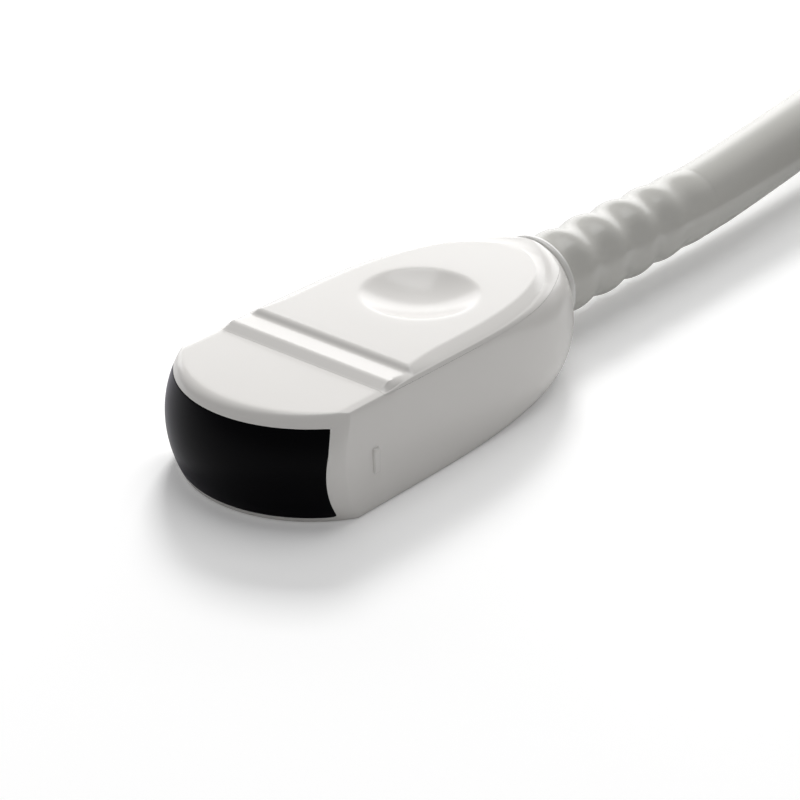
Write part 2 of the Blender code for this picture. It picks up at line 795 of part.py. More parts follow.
def cover_under():
    """Bulge under the thumb dish and two ribs that locate the cover."""
    shape = bmesh.new()
    low = BODY_HEIGHT - DISH_DEPTH - DISH_WALL
    rings = [
        circle((0.0, DISH_Y, low), DISH_RADIUS * 0.55, 24),
        circle((0.0, DISH_Y, mix(low, COVER_LOW, 0.5)), DISH_RADIUS * 0.92, 24),
        circle((0.0, DISH_Y, COVER_LOW + GAP), DISH_RADIUS + DISH_WALL, 24),
    ]
    loft_into(shape, rings)
    rib = HALF_WIDTH - WALL - EDGE_TUCK - 2 * GAP
    for side in (-1, 1):
        across = sorted((side * rib, side * (rib - RIB_WALL)))
        block_into(
            shape,
            (across[0], STEP_TWO_CREST + RIB_DEPTH, COVER_LOW - RIB_DEPTH),
            (across[1], STEP_TWO_CREST + RIB_DEPTH + RIB_LENGTH, COVER_LOW + GAP),
        )
    return add_object("cover_under", mesh_from("cover_under", shape), None)


def make_cover(look):
    cover = add_object("top_cover", body_shape(), look)
    keep = block(
        "cover_keep",
        (-BODY_WIDTH, STEP_ONE_FOOT + GAP, COVER_LOW),
        (BODY_WIDTH, BODY_LENGTH + CUT_PAST, BODY_HEIGHT + CUT_PAST),
        None,
    )
    combine(cover, keep, "INTERSECT")
    combine(cover, cover_under(), "UNION")
    combine(cover, dish_cutter(), "DIFFERENCE")
    return cover


def make_seal(look):
    """Rubber seal in the step between the cover and the housing."""
    inset = SEAL_INSET + GAP
    inner_inset = inset + SEAL_WIDTH
    start = SEAL_START + GAP
    end = SEAL_END - GAP
    low = SEAM_HEIGHT - SEAL_DEPTH + GAP
    high = COVER_LOW - GAP
    outline = plan_outline(SEAM_HEIGHT, inset, start, end)
    inner_plan = plan_outline(SEAM_HEIGHT, inner_inset, start + SEAL_WIDTH, end - SEAL_WIDTH)
    outer = [[Vector((x, y, z)) for x, y in outline] for z in (low, high)]
    inner = [[Vector((x, y, z)) for x, y in inner_plan] for z in (low, high)]
    return hoop("cover_seal", outer, inner, look)


# Acoustic stack

def on_arc(radius, angle, z):
    return Vector((radius * math.sin(angle), FACE_RADIUS - radius * math.cos(angle), z))


def arc_slab_into(shape, outer, inner, start, end, low, high, steps):
    rings = []
    for index in range(steps + 1):
        angle = mix(start, end, index / steps)
        rings.append([
            on_arc(outer, angle, low),
            on_arc(outer, angle, high),
            on_arc(inner, angle, high),
            on_arc(inner, angle, low),
        ])
    loft_into(shape, rings)


def arc_slab(name, outer, wall, low, high, look):
    shape = bmesh.new()
    arc_slab_into(
        shape, outer, outer - wall, -STACK_HALF_ANGLE, STACK_HALF_ANGLE, low, high, FACE_STEPS
    )
    return add_object(name, mesh_from(name, shape), look)


def make_lens(look):
    """Silicone lens: barrel-shaped outside, a plain cylinder inside."""
    reach = math.radians(58.0)
    rings = []
    for index in range(FACE_STEPS + 3):
        angle = mix(-reach, reach, index / (FACE_STEPS + 2))
        ring = []
        for part in (0.0, 0.12, 0.3, 0.5, 0.7, 0.88, 1.0):
            z = mix(WINDOW_LOW - 0.5 * MM, WINDOW_HIGH + 0.5 * MM, part)
            ring.append(on_arc(FACE_RADIUS - LENS_SETBACK + crown(z), angle, z))
        ring.append(on_arc(LENS_INNER, angle, WINDOW_HIGH + 0.5 * MM))
        ring.append(on_arc(LENS_INNER, angle, WINDOW_LOW - 0.5 * MM))
        rings.append(ring)
    lens = loft("acoustic_lens", rings, look)
    keep = prism_y(
        "lens_keep",
        rounded(WINDOW_HALF - GAP, WINDOW_LOW + GAP, WINDOW_HIGH - GAP, WINDOW_CORNER - GAP),
        -2 * FACE_CROWN,
        FACE_RADIUS,
        None,
    )
    combine(lens, keep, "INTERSECT")
    return lens


def make_elements(look):
    """Ceramic array, diced from the front by saw kerfs down to its rear electrode."""
    pitch = 2 * STACK_HALF_ANGLE / ELEMENT_COUNT
    kerf = ELEMENT_KERF / ELEMENT_OUTER
    floor = ELEMENT_OUTER - ELEMENT_WALL * KERF_DEPTH
    outline = []
    for index in range(ELEMENT_COUNT):
        start = -STACK_HALF_ANGLE + pitch * index
        corners = (
            (floor, start),
            (ELEMENT_OUTER, start + (kerf / 2 if index else 0.0)),
            (ELEMENT_OUTER, start + pitch - kerf / 2),
            (floor, start + pitch - kerf / 2),
        )
        if index:
            corners = ((floor, start + kerf / 2),) + corners[1:]
        outline += [on_arc(radius, angle, 0.0) for radius, angle in corners]
    back = ELEMENT_OUTER - ELEMENT_WALL
    for index in range(ELEMENT_COUNT // 2 + 1):
        angle = mix(STACK_HALF_ANGLE, -STACK_HALF_ANGLE, index / (ELEMENT_COUNT // 2))
        outline.append(on_arc(back, angle, 0.0))
    plan = [(point.x, point.y) for point in outline]
    return prism_z("array_elements", plan, STACK_LOW, STACK_HIGH, look)


def make_backing(look):
    """Absorbing block whose curved front carries the array."""
    outline = []
    for index in range(FACE_STEPS + 1):
        angle = mix(-STACK_HALF_ANGLE, STACK_HALF_ANGLE, index / FACE_STEPS)
        point = on_arc(BACKING_RADIUS, angle, 0.0)
        outline.append((point.x, point.y))
    half = outline[-1][0]
    outline += [(half, BACKING_END), (-half, BACKING_END)]
    return prism_z("backing_block", outline, STACK_LOW, STACK_HIGH, look)


def make_flex(name, sign, look):
    """Flexible circuit from behind the elements, over the block, to its socket."""
    middle = FACE_MIDDLE + sign * 0.3 * MM
    edge = FACE_MIDDLE + sign * (STACK_RISE + GAP)
    outside = edge + sign * FLEX_WALL
    face = (BOARD_HIGH if sign > 0 else BOARD_LOW) + sign * (GAP + SOCKET_HEIGHT / 2)
    tail = face + sign * FLEX_WALL
    rings = []
    for index in range(FACE_STEPS + 1):
        angle = mix(-STACK_HALF_ANGLE, STACK_HALF_ANGLE, index / FACE_STEPS)
        front = on_arc(FLEX_OUTER, angle, 0.0)
        behind = on_arc(FLEX_OUTER - FLEX_WALL, angle, 0.0)
        across = front.x / (FLEX_OUTER * math.sin(STACK_HALF_ANGLE))
        bend = across * FLEX_BEND_HALF
        end = across * (SOCKET_HALF - GAP)
        rings.append([
            Vector((front.x, front.y, middle)),
            Vector((front.x, front.y, outside)),
            Vector((bend, BACKING_END + FLEX_BEND_REACH + FLEX_WALL, outside)),
            Vector((end, SOCKET_START - GAP, tail)),
            Vector((end, SOCKET_START - GAP, face)),
            Vector((bend, BACKING_END + FLEX_BEND_REACH, edge)),
            Vector((behind.x, behind.y, edge)),
            Vector((behind.x, behind.y, middle)),
        ])
    return loft(name, rings, look)


def make_frame(look):
    """Collar that holds the backing block and its circuits in the nose."""
    half = BACKING_RADIUS * math.sin(STACK_HALF_ANGLE) + GAP
    space = STACK_RISE + 2 * GAP + FLEX_WALL
    outline = rounded(FRAME_HALF, FRAME_LOW, FRAME_HIGH, FRAME_CORNER)
    hole = rounded(half, FACE_MIDDLE - space, FACE_MIDDLE + space, FRAME_HOLE_CORNER)
    outer = [[Vector((x, y, z)) for x, z in outline] for y in (FRAME_START, FRAME_END)]
    inner = [[Vector((x, y, z)) for x, z in hole] for y in (FRAME_START, FRAME_END)]
    return hoop("array_frame", outer, inner, look)


# Electronics

def make_board(look):
    board = block(
        "interconnect_board",
        (-BOARD_HALF, BOARD_START, BOARD_LOW),
        (BOARD_HALF, BOARD_END, BOARD_HIGH),
        look,
    )
    shape = bmesh.new()
    for place in board_screw_places():
        hole = SCREW_RADIUS + SCREW_CLEARANCE
        cylinder_into(shape, place, hole, BOARD_LOW - GAP, BOARD_HIGH + GAP, SMALL_STEPS)
    combine(board, add_object("board_holes", mesh_from("board_holes", shape), None), "DIFFERENCE")
    return board


def make_socket(name, sign, look):
    """Low socket on one face of the board that takes a flexible circuit."""
    seat = BOARD_HIGH + GAP if sign > 0 else BOARD_LOW - GAP
    low, high = sorted((seat, seat + sign * SOCKET_HEIGHT))
    chamfer = SOCKET_CHAMFER
    outline = [
        (SOCKET_START, low),
        (SOCKET_END, low),
        (SOCKET_END, high - chamfer),
        (SOCKET_END - chamfer, high),
        (SOCKET_START, high),
    ]
    rings = [[Vector((x, y, z)) for y, z in outline] for x in (-SOCKET_HALF, SOCKET_HALF)]
    return loft(name, rings, look)


def make_comb(name, sign, look):
    """Ribbon comb that holds the fine coaxes side by side on the board."""
    seat = BOARD_HIGH + GAP if sign > 0 else BOARD_LOW - GAP
    top = seat + sign * COMB_HEIGHT
    pitch = 2 * COMB_HALF / COMB_TEETH
    root = top - sign * COMB_TOOTH
    outline = [(-COMB_HALF, seat)]
    for index in range(COMB_TEETH):
        left = -COMB_HALF + pitch * index
        outline.append((left, root))
        outline.append((left + pitch * 0.25, top))
        outline.append((left + pitch * 0.75, top))
    outline.append((COMB_HALF, root))
    outline.append((COMB_HALF, seat))
    return prism_y(name, outline, COMB_START, COMB_END, look)


def half_round(sign, radius, y, steps=10):
    points = []
    for index in range(steps + 1):
        angle = math.pi * index / steps
        points.append(Vector((
            radius * math.cos(angle),
            y,
            AXIS_HEIGHT + sign * (GAP / 2 + radius * math.sin(angle)),
        )))
    return points


def make_fan(name, sign, look):
    """Fine coaxes that gather from the comb's width into half the cable core."""
    seat = BOARD_HIGH + GAP if sign > 0 else BOARD_LOW - GAP
    start = COMB_END + GAP
    end = CORE_START - GAP
    target = half_round(sign, CORE_RADIUS - 0.4 * MM, end)
    flat = []
    for index, point in enumerate(target):
        part = index / (len(target) - 1)
        rise = 0.0 if index in (0, len(target) - 1) else COMB_HEIGHT * 0.8
        flat.append(Vector((mix(COMB_HALF * 0.95, -COMB_HALF * 0.95, part), start, seat + sign * rise)))
    rings = []
    for part in (0.0, 0.12, 0.3, 0.5, 0.7, 0.88, 1.0):
        blend = ease(part)
        rings.append([near.lerp(far, blend) for near, far in zip(flat, target)])
        for point in rings[-1]:
            point.y = mix(start, end, part)
    return loft(name, rings, look)


def make_can(name, sign, look):
    """Half of the screening can round the board, with notches for the posts."""
    seam = BOARD_LOW + BOARD_WALL / 2 + sign * GAP / 2
    top = CAN_HIGH if sign > 0 else CAN_LOW
    outline = rounded(CAN_HALF, *sorted((seam, top)), CAN_CORNER, 1)
    can = prism_y(name, outline, CAN_START, CAN_END, look)
    inside = rounded(
        CAN_HALF - CAN_WALL,
        *sorted((seam - sign * CUT_PAST, top - sign * CAN_WALL)),
        CAN_CORNER,
        1,
    )
    hollow = prism_y(name + "_hollow", inside, CAN_START - CUT_PAST, CAN_END + CUT_PAST, None)
    combine(can, hollow, "DIFFERENCE")
    if sign < 0:
        shape = bmesh.new()
        for place in board_screw_places():
            radius = BOSS_RADIUS + GAP
            cylinder_into(shape, place, radius, CAN_LOW - CUT_PAST, BOARD_LOW, SMALL_STEPS)
        notch = add_object(name + "_notch", mesh_from(name + "_notch", shape), None)
        combine(can, notch, "DIFFERENCE")
    return can


# Cable end, clamp and neck

def make_ferrule(look):
    inner = CORE_RADIUS + GAP
    end = FERRULE_START + FERRULE_LENGTH
    profile = [
        (inner, FERRULE_START),
        (FERRULE_RADIUS, FERRULE_START),
        (FERRULE_RADIUS, end),
        (inner, end),
    ]
    return turned("braid_ferrule", profile, look)


def make_clamp(look):
    """Saddle that holds the ferrule down on its cradle."""
    low = AXIS_HEIGHT + GAP
    ear = low + CLAMP_EAR
    outer = FERRULE_RADIUS + GAP + CLAMP_WALL
    inner = FERRULE_RADIUS + GAP
    start = math.asin((ear - AXIS_HEIGHT) / outer)
    foot = math.asin(GAP / inner)
    outline = [(CLAMP_HALF, low), (CLAMP_HALF, ear)]
    for index in range(9):
        angle = mix(start, math.pi - start, index / 8)
        outline.append((outer * math.cos(angle), AXIS_HEIGHT + outer * math.sin(angle)))
    outline += [(-CLAMP_HALF, ear), (-CLAMP_HALF, low)]
    for index in range(9):
        angle = mix(math.pi - foot, foot, index / 8)
        outline.append((inner * math.cos(angle), AXIS_HEIGHT + inner * math.sin(angle)))
    clamp = prism_y("cable_clamp", outline, CLAMP_START, CLAMP_END, look)
    shape = bmesh.new()
    for place in clamp_screw_places():
        hole = SCREW_RADIUS + SCREW_CLEARANCE
        cylinder_into(shape, place, hole, low - GAP, ear + GAP, SMALL_STEPS)
    combine(clamp, add_object("clamp_holes", mesh_from("clamp_holes", shape), None), "DIFFERENCE")
    return clamp


def make_collar(look):
    """Bright ring that closes the neck round the strain relief."""
    inner = SPIGOT_RADIUS + GAP
    edge = COLLAR_EDGE
    profile = [
        (inner, COLLAR_START),
        (NECK_RADIUS - edge, COLLAR_START),
        (NECK_RADIUS, COLLAR_START + edge),
        (mix(NECK_RADIUS, COLLAR_END_RADIUS, 0.5), COLLAR_END - edge),
        (COLLAR_END_RADIUS - edge, COLLAR_END),
        (inner, COLLAR_END),
    ]
    return turned("neck_collar", profile, look, 28)


def relief_radius(y):
    fade = 1 - 0.75 * ease(share(y, RING_FADE_Y, RELIEF_END))
    wave = math.cos(2 * math.pi * (y - RING_CREST_Y) / RING_PITCH)
    base = RELIEF_RADIUS - RELIEF_TAPER * share(y, RING_CREST_Y, RELIEF_END)
    return base + RING_HEIGHT * fade * wave


def make_relief(look):
    """Ribbed strain relief, anchored inside the neck by its flange."""
    bore = CORE_RADIUS + GAP
    flange_end = NECK_INSIDE - GAP
    profile = [
        (bore, flange_end - FLANGE_WALL),
        (FLANGE_RADIUS, flange_end - FLANGE_WALL),
        (FLANGE_RADIUS, flange_end),
        (SPIGOT_RADIUS, flange_end),
        (SPIGOT_RADIUS, RELIEF_FACE),
    ]
    steps = 30
    for index in range(steps + 1):
        y = mix(RELIEF_FACE, RELIEF_END, index / steps)
        profile.append((relief_radius(y), y))
    profile.append((bore, RELIEF_END))
    return turned("strain_relief", profile, look)


# Lead, coil and ties

def spline_point(points, place):
    """Point on a smooth curve through the route's own points."""
    count = len(points) - 1
    index = min(int(place), count - 1)
    part = place - index
    before = points[max(index - 1, 0)]
    near = points[index]
    far = points[index + 1]
    after = points[min(index + 2, count)]
    return 0.5 * (
        2 * near
        + (far - before) * part
        + (2 * before - 5 * near + 4 * far - after) * part ** 2
        + (3 * near - before - 3 * far + after) * part ** 3
    )


def add_cable(name, route, start, samples, look):
    points = [start + Vector(point) * MM for point in route]
    curve = bpy.data.curves.new(name, "CURVE")
    curve.dimensions = "3D"
    curve.bevel_depth = CABLE_RADIUS
    curve.bevel_resolution = 3
    curve.use_fill_caps = True
    line = curve.splines.new("POLY")
    line.points.add(samples - 1)
    for index in range(samples):
        place = (len(points) - 1) * index / (samples - 1)
        line.points[index].co = (*spline_point(points, place), 1.0)
    curve.materials.append(look)
    made = bpy.data.objects.new(name, curve)
    made.location = (0.0, -ORIGIN_Y, 0.0)
    bpy.context.scene.collection.objects.link(made)
    return made


def coil_profile(grow=0.0):
    """Outline across the wound turns: three below, two above in the hollows."""
    half = COIL_WIDTH / 2 + grow
    upper = half - CABLE_RADIUS
    low = COIL_LIFT - grow
    high = COIL_LIFT + COIL_HEIGHT + grow
    soft = CABLE_RADIUS * 0.6
    return [
        (-half + soft, low),
        (half - soft, low),
        (half, COIL_LIFT + CABLE_RADIUS * 0.7),
        (half, COIL_LIFT + CABLE_RADIUS * 1.5),
        (upper, high - soft),
        (upper - soft, high),
        (-upper + soft, high),
        (-upper, high - soft),
        (-half, COIL_LIFT + CABLE_RADIUS * 1.5),
        (-half, COIL_LIFT + CABLE_RADIUS * 0.7),
    ]


def make_coil(look):
    """Rest of the lead, wound into a neat round coil."""
    shape = bmesh.new()
    steps = 40
    profile = coil_profile()
    rows = []
    for index in range(steps):
        angle = 2 * math.pi * index / steps
        outward = Vector((math.cos(angle), math.sin(angle), 0.0))
        row = []
        for across, z in profile:
            place = COIL_CENTRE + outward * (COIL_RADIUS + across) + Vector((0.0, 0.0, z))
            row.append(shape.verts.new(place))
        rows.append(row)
    for row, after in zip(rows, rows[1:] + rows[:1]):
        for index in range(len(profile)):
            following = (index + 1) % len(profile)
            shape.faces.new((row[index], row[following], after[following], after[index]))
    return add_object("cable_coil", mesh_from("cable_coil", shape), look, 50.0)


def make_tie(name, angle, look):
    """Soft strap round all the turns of the coil."""
    outward = Vector((math.cos(angle), math.sin(angle), 0.0))
    along = Vector((-outward.y, outward.x, 0.0))
    sag = COIL_OUTER - math.sqrt(COIL_OUTER ** 2 - (TIE_WIDTH / 2) ** 2)
    shell = []
    for grow in (TIE_FIT + TIE_WALL, TIE_FIT):
        rings = []
        for side in (-0.5, 0.5):
            ring = []
            for across, z in coil_profile(grow):
                slack = sag if across < 0 else 0.0
                place = COIL_CENTRE + outward * (COIL_RADIUS + across - slack)
                ring.append(place + along * (side * TIE_WIDTH) + Vector((0.0, 0.0, z)))
            rings.append(ring)
        shell.append(rings)
    return hoop(name, shell[0], shell[1], look)


# Plug

def tail_start():
    """Place where the lead's far end leaves the coil."""
    return Vector((COIL_X + OUTER_TURN, RELIEF_END + COIL_Y - coil_reach(), 0.0))


def plug_places():
    """Lead's entry and rear face of the plug, whose mating end points towards -Y."""
    entry = tail_start() + Vector(TAIL_ROUTE[-1]) * MM
    rear = entry.y - GAP - PLUG_RELIEF_LENGTH - GAP
    return entry, rear


def coil_reach():
    """How far before its tangent point a straight lead clears the coil."""
    corner = OUTER_TURN - CABLE_RADIUS
    clear = COIL_OUTER + GAP
    return math.sqrt(clear ** 2 - corner ** 2)


def make_plug_half(name, sign, look):
    """Half of the plug's case, with a space for the board and the shroud."""
    entry, rear = plug_places()
    seam = PLUG_HEIGHT / 2 + sign * GAP / 2
    outer_z = PLUG_HEIGHT if sign > 0 else 0.0
    front = rear - PLUG_LENGTH
    outline = []
    corner = PLUG_CORNER
    for x, z, start in (
        (entry.x + PLUG_WIDTH / 2 - corner, outer_z - sign * corner, 0.0),
        (entry.x - PLUG_WIDTH / 2 + corner, outer_z - sign * corner, 90.0),
    ):
        for index in range(4):
            angle = math.radians(start + 30.0 * index)
            outline.append((x + corner * math.cos(angle), z + sign * corner * math.sin(angle)))
    outline.append((entry.x - PLUG_WIDTH / 2, seam))
    outline.append((entry.x + PLUG_WIDTH / 2, seam))
    middle = Vector((entry.x, 0.0, PLUG_HEIGHT / 2))
    rings = []
    for y, scale in (
        (front, 0.94),
        (front + PLUG_NOSE, 1.0),
        (rear - PLUG_SHOULDER, 1.0),
        (rear - PLUG_HEEL, 0.93),
        (rear, 0.8),
    ):
        ring = []
        for x, z in outline:
            across = middle.x + (x - middle.x) * scale
            fixed = abs(z - seam) < 1e-6
            up = z if fixed or sign < 0 else middle.z + (z - middle.z) * scale
            ring.append(Vector((across, y, up)))
        rings.append(ring)
    half = loft(name, rings, look)
    shape = bmesh.new()
    inner = PLUG_WIDTH / 2 - PLUG_WALL
    low, high = sorted((seam - sign * CUT_PAST, outer_z - sign * PLUG_WALL))
    block_into(
        shape,
        (entry.x - inner, front + PLUG_FRONT_LAND, low),
        (entry.x + inner, rear - PLUG_REAR_LAND, high),
    )
    hollow = add_object(name + "_hollow", mesh_from(name + "_hollow", shape), None)
    combine(half, hollow, "DIFFERENCE")
    shape = bmesh.new()
    reach_x = SHROUD_WIDTH / 2 + GAP
    reach_z = SHROUD_HEIGHT / 2 + GAP
    block_into(
        shape,
        (entry.x - reach_x, front - CUT_PAST, PLUG_HEIGHT / 2 - reach_z),
        (entry.x + reach_x, front + PLUG_FRONT_LAND + GAP, PLUG_HEIGHT / 2 + reach_z),
    )
    rings = [
        circle((entry.x, y, PLUG_HEIGHT / 2), PLUG_BORE + GAP, ROUND_STEPS, "Y")
        for y in (rear - PLUG_ANCHOR, rear + CUT_PAST)
    ]
    loft_into(shape, rings)
    mouth = add_object(name + "_mouth", mesh_from(name + "_mouth", shape), None)
    combine(half, mouth, "DIFFERENCE")
    posts = bmesh.new()
    holes = bmesh.new()
    shank = SCREW_RADIUS + SCREW_CLEARANCE
    head = SCREW_HEAD_RADIUS + SCREW_CLEARANCE
    if sign > 0:
        steps = (
            (shank, seam - CUT_PAST),
            (shank, PLUG_SCREW_SEAT),
            (head, PLUG_SCREW_SEAT),
            (head, PLUG_HEIGHT + CUT_PAST),
        )
    else:
        steps = ((shank, PLUG_WALL), (shank, seam + CUT_PAST))
    for side in (-1, 1):
        place = (entry.x + side * PLUG_SCREW_X, rear - PLUG_SCREW_Y)
        low, high = sorted((seam, outer_z - sign * PLUG_WALL / 2))
        cylinder_into(posts, place, PLUG_POST_RADIUS, low, high, SMALL_STEPS)
        rings = [circle((*place, z), radius, SMALL_STEPS) for radius, z in steps]
        loft_into(holes, rings)
    combine(half, add_object(name + "_posts", mesh_from(name + "_posts", posts), None), "UNION")
    combine(half, add_object(name + "_holes", mesh_from(name + "_holes", holes), None), "DIFFERENCE")
    return half


def make_plug_screws(look):
    entry, rear = plug_places()
    places = [(entry.x + side * PLUG_SCREW_X, rear - PLUG_SCREW_Y) for side in (-1, 1)]
    make_screws("plug_screw", places, PLUG_SCREW_SEAT, PLUG_SCREW_BITE, look)


def make_plug_relief(look):
    """Tapered strain relief where the lead enters the plug."""
    entry, rear = plug_places()
    far = rear + GAP + PLUG_RELIEF_LENGTH
    bore = CORE_RADIUS + GAP
    profile = [
        (bore, rear - PLUG_ANCHOR),
        (PLUG_BORE, rear - PLUG_ANCHOR),
        (PLUG_BORE, rear + GAP),
        (PLUG_RELIEF_RADIUS, rear + GAP),
        (PLUG_RELIEF_RADIUS, rear + PLUG_HEEL),
    ]
    steps = 9
    for index in range(1, steps + 1):
        y = mix(rear + PLUG_HEEL, far, index / steps)
        groove = 0.0 if index % 2 else PLUG_RELIEF_GROOVE
        taper = mix(PLUG_RELIEF_RADIUS, PLUG_RELIEF_TIP, index / steps)
        profile.append((taper - groove, y))
    profile.append((bore, far))
    return turned("plug_relief", profile, look, ROUND_STEPS, entry.x, PLUG_HEIGHT / 2)


def make_plug_core(look):
    """Braided core of the lead inside the plug's strain relief."""
    entry, rear = plug_places()
    start = rear - PLUG_CORE_REACH
    return cylinder_y(
        "plug_core", CORE_RADIUS, start, entry.y - GAP, look, ROUND_STEPS, entry.x, PLUG_HEIGHT / 2
    )


def make_shroud(look):
    """Metal shell round the contacts at the plug's mating end."""
    entry, rear = plug_places()
    front = rear - PLUG_LENGTH
    outline = rounded(SHROUD_WIDTH / 2, -SHROUD_HEIGHT / 2, SHROUD_HEIGHT / 2, SHROUD_CORNER)
    hole = rounded(
        SHROUD_WIDTH / 2 - SHROUD_WALL,
        -SHROUD_HEIGHT / 2 + SHROUD_WALL,
        SHROUD_HEIGHT / 2 - SHROUD_WALL,
        SHROUD_CORNER - SHROUD_WALL,
    )
    middle = PLUG_HEIGHT / 2
    span = (front - SHROUD_PROUD, front - SHROUD_PROUD + SHROUD_LENGTH)
    outer = [[Vector((entry.x + x, y, middle + z)) for x, z in outline] for y in span]
    inner = [[Vector((entry.x + x, y, middle + z)) for x, z in hole] for y in span]
    return hoop("plug_shroud", outer, inner, look)


def make_contact_block(look):
    """Insulator inside the shroud with two rows of moulded-in contacts."""
    entry, rear = plug_places()
    front = rear - PLUG_LENGTH - SHROUD_PROUD + BLOCK_INSET
    half = SHROUD_WIDTH / 2 - SHROUD_WALL - GAP
    tall = SHROUD_HEIGHT / 2 - SHROUD_WALL - GAP
    outline = rounded(half, -tall, tall, BLOCK_CORNER)
    middle = PLUG_HEIGHT / 2
    moved = [(entry.x + x, middle + z) for x, z in outline]
    body = prism_y("contact_block", moved, front, front + BLOCK_LENGTH, look)
    combine(body, contact_pins(), "UNION")
    return body


def pin_places():
    places = []
    for row in (-0.5, 0.5):
        for column in range(PIN_COLUMNS):
            x = (column - (PIN_COLUMNS - 1) / 2) * PIN_PITCH
            places.append((x, row * PIN_ROW_PITCH))
    return places


def contact_pins():
    entry, rear = plug_places()
    front = rear - PLUG_LENGTH - SHROUD_PROUD + PIN_INSET
    middle = PLUG_HEIGHT / 2
    shape = bmesh.new()
    for x, z in pin_places():
        block_into(
            shape,
            (entry.x + x - PIN_HALF, front, middle + z - PIN_HALF),
            (entry.x + x + PIN_HALF, front + PIN_LENGTH, middle + z + PIN_HALF),
        )
    return add_object("pins", mesh_from("pins", shape), None)


def make_plug_board(look):
    """Small board that joins the contacts to the cable core, between the rows."""
    entry, rear = plug_places()
    pins_end = rear - PLUG_LENGTH - SHROUD_PROUD + PIN_INSET + PIN_LENGTH
    start = pins_end - PIN_OVERLAP
    thick = PIN_ROW_PITCH - 2 * PIN_HALF - 2 * GAP
    middle = PLUG_HEIGHT / 2
    half = (PIN_COLUMNS - 1) / 2 * PIN_PITCH + PIN_HALF
    return block(
        "plug_board",
        (entry.x - half, start, middle - thick / 2),
        (entry.x + half, rear - PLUG_CORE_REACH - GAP, middle + thick / 2),
        look,
    )


def make_probe():
    shell = material("shell_plastic", (0.80, 0.79, 0.77), 0.38)
    rubber = material("lens_silicone", (0.012, 0.012, 0.018), 0.35)
    seal = material("seal_rubber", (0.05, 0.05, 0.05), 0.7)
    epoxy = material("matching_epoxy", (0.25, 0.18, 0.12), 0.5)
    grey_epoxy = material("inner_matching_epoxy", (0.12, 0.12, 0.13), 0.5)
    ceramic = material("array_ceramic", (0.55, 0.50, 0.36), 0.5)
    backing = material("backing_compound", (0.05, 0.05, 0.055), 0.75)
    copper = material("flex_film", (0.62, 0.30, 0.08), 0.4)
    frame = material("frame_plastic", (0.06, 0.06, 0.065), 0.5)
    board = material("board_laminate", (0.03, 0.22, 0.10), 0.45)
    socket = material("socket_plastic", (0.78, 0.74, 0.62), 0.5)
    tin = material("screening_tin", (0.68, 0.68, 0.66), 0.35, 1.0)
    coax = material("coax_jacket", (0.10, 0.14, 0.30), 0.5)
    braid = material("tinned_braid", (0.60, 0.60, 0.58), 0.4, 1.0)
    steel = material("screw_steel", (0.55, 0.55, 0.55), 0.3, 1.0)
    collar = material("collar_plastic", (0.72, 0.71, 0.68), 0.25)
    relief = material("relief_rubber", (0.56, 0.55, 0.53), 0.38)

    make_housing(shell)
    make_cover(shell)
    make_seal(seal)
    make_lens(rubber)
    arc_slab(
        "matching_layer_outer", OUTER_LAYER, MATCHING_WALL, STACK_LOW - GAP, STACK_HIGH + GAP, epoxy
    )
    arc_slab(
        "matching_layer_inner", INNER_LAYER, MATCHING_WALL, STACK_LOW, STACK_HIGH, grey_epoxy
    )
    make_elements(ceramic)
    make_flex("flex_circuit_upper", 1, copper)
    make_flex("flex_circuit_lower", -1, copper)
    make_backing(backing)
    make_frame(frame)
    make_board(board)
    make_socket("flex_socket_upper", 1, socket)
    make_socket("flex_socket_lower", -1, socket)
    make_comb("coax_comb_upper", 1, socket)
    make_comb("coax_comb_lower", -1, socket)
    make_fan("coax_fan_upper", 1, coax)
    make_fan("coax_fan_lower", -1, coax)
    make_can("screening_can_upper", 1, tin)
    make_can("screening_can_lower", -1, tin)
    make_screws("board_screw", board_screw_places(), BOARD_HIGH, SCREW_BITE, steel)
    cylinder_y("cable_core", CORE_RADIUS, CORE_START, CORE_END, braid)
    make_ferrule(tin)
    make_clamp(tin)
    ear = AXIS_HEIGHT + GAP + CLAMP_EAR
    make_screws("clamp_screw", clamp_screw_places(), ear, SCREW_BITE + CLAMP_EAR - GAP, steel)
    make_collar(collar)
    make_relief(relief)


def make_lead():
    jacket = material("cable_jacket", (0.58, 0.57, 0.55), 0.36)
    strap = material("tie_strap", (0.10, 0.10, 0.11), 0.8)
    case = material("plug_plastic", (0.72, 0.71, 0.69), 0.42)
    metal = material("plug_metal", (0.70, 0.69, 0.66), 0.3, 1.0)
    insulator = material("contact_insulator", (0.05, 0.05, 0.05), 0.5)
    laminate = material("plug_laminate", (0.03, 0.22, 0.10), 0.45)
    steel = material("plug_screw_steel", (0.55, 0.55, 0.55), 0.3, 1.0)
    braid = material("plug_braid", (0.60, 0.60, 0.58), 0.4, 1.0)

    add_cable("probe_cable", LEAD_ROUTE, Vector((0.0, RELIEF_END, 0.0)), LEAD_SAMPLES, jacket)
    make_coil(jacket)
    add_cable("plug_cable", TAIL_ROUTE, tail_start(), TAIL_SAMPLES, jacket)
    for index, angle in enumerate(TIE_ANGLES):
        make_tie("coil_tie_" + "ab"[index], angle, strap)
    make_plug_half("plug_case_upper", 1, case)
    make_plug_half("plug_case_lower", -1, case)
    make_plug_relief(jacket)
    make_plug_core(braid)
    make_shroud(metal)
    make_contact_block(insulator)
    make_plug_board(laminate)
    make_plug_screws(steel)


clear_scene()
make_probe()
make_lead()
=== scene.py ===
# %% [markdown]
# # A micro-convex ultrasound probe
#
# The probe is a smooth two-part plastic shell with a black silicone lens in
# its nose. Two grip steps run across its cover and a round dish takes the
# thumb. A ribbed strain relief leads into a thick grey lead. This lesson
# loads the engineering model first, because every piece has its place there.

# %% Load the engineering model
import math

import bmesh
import bpy
import numpy as np
from mathutils import Matrix, Vector


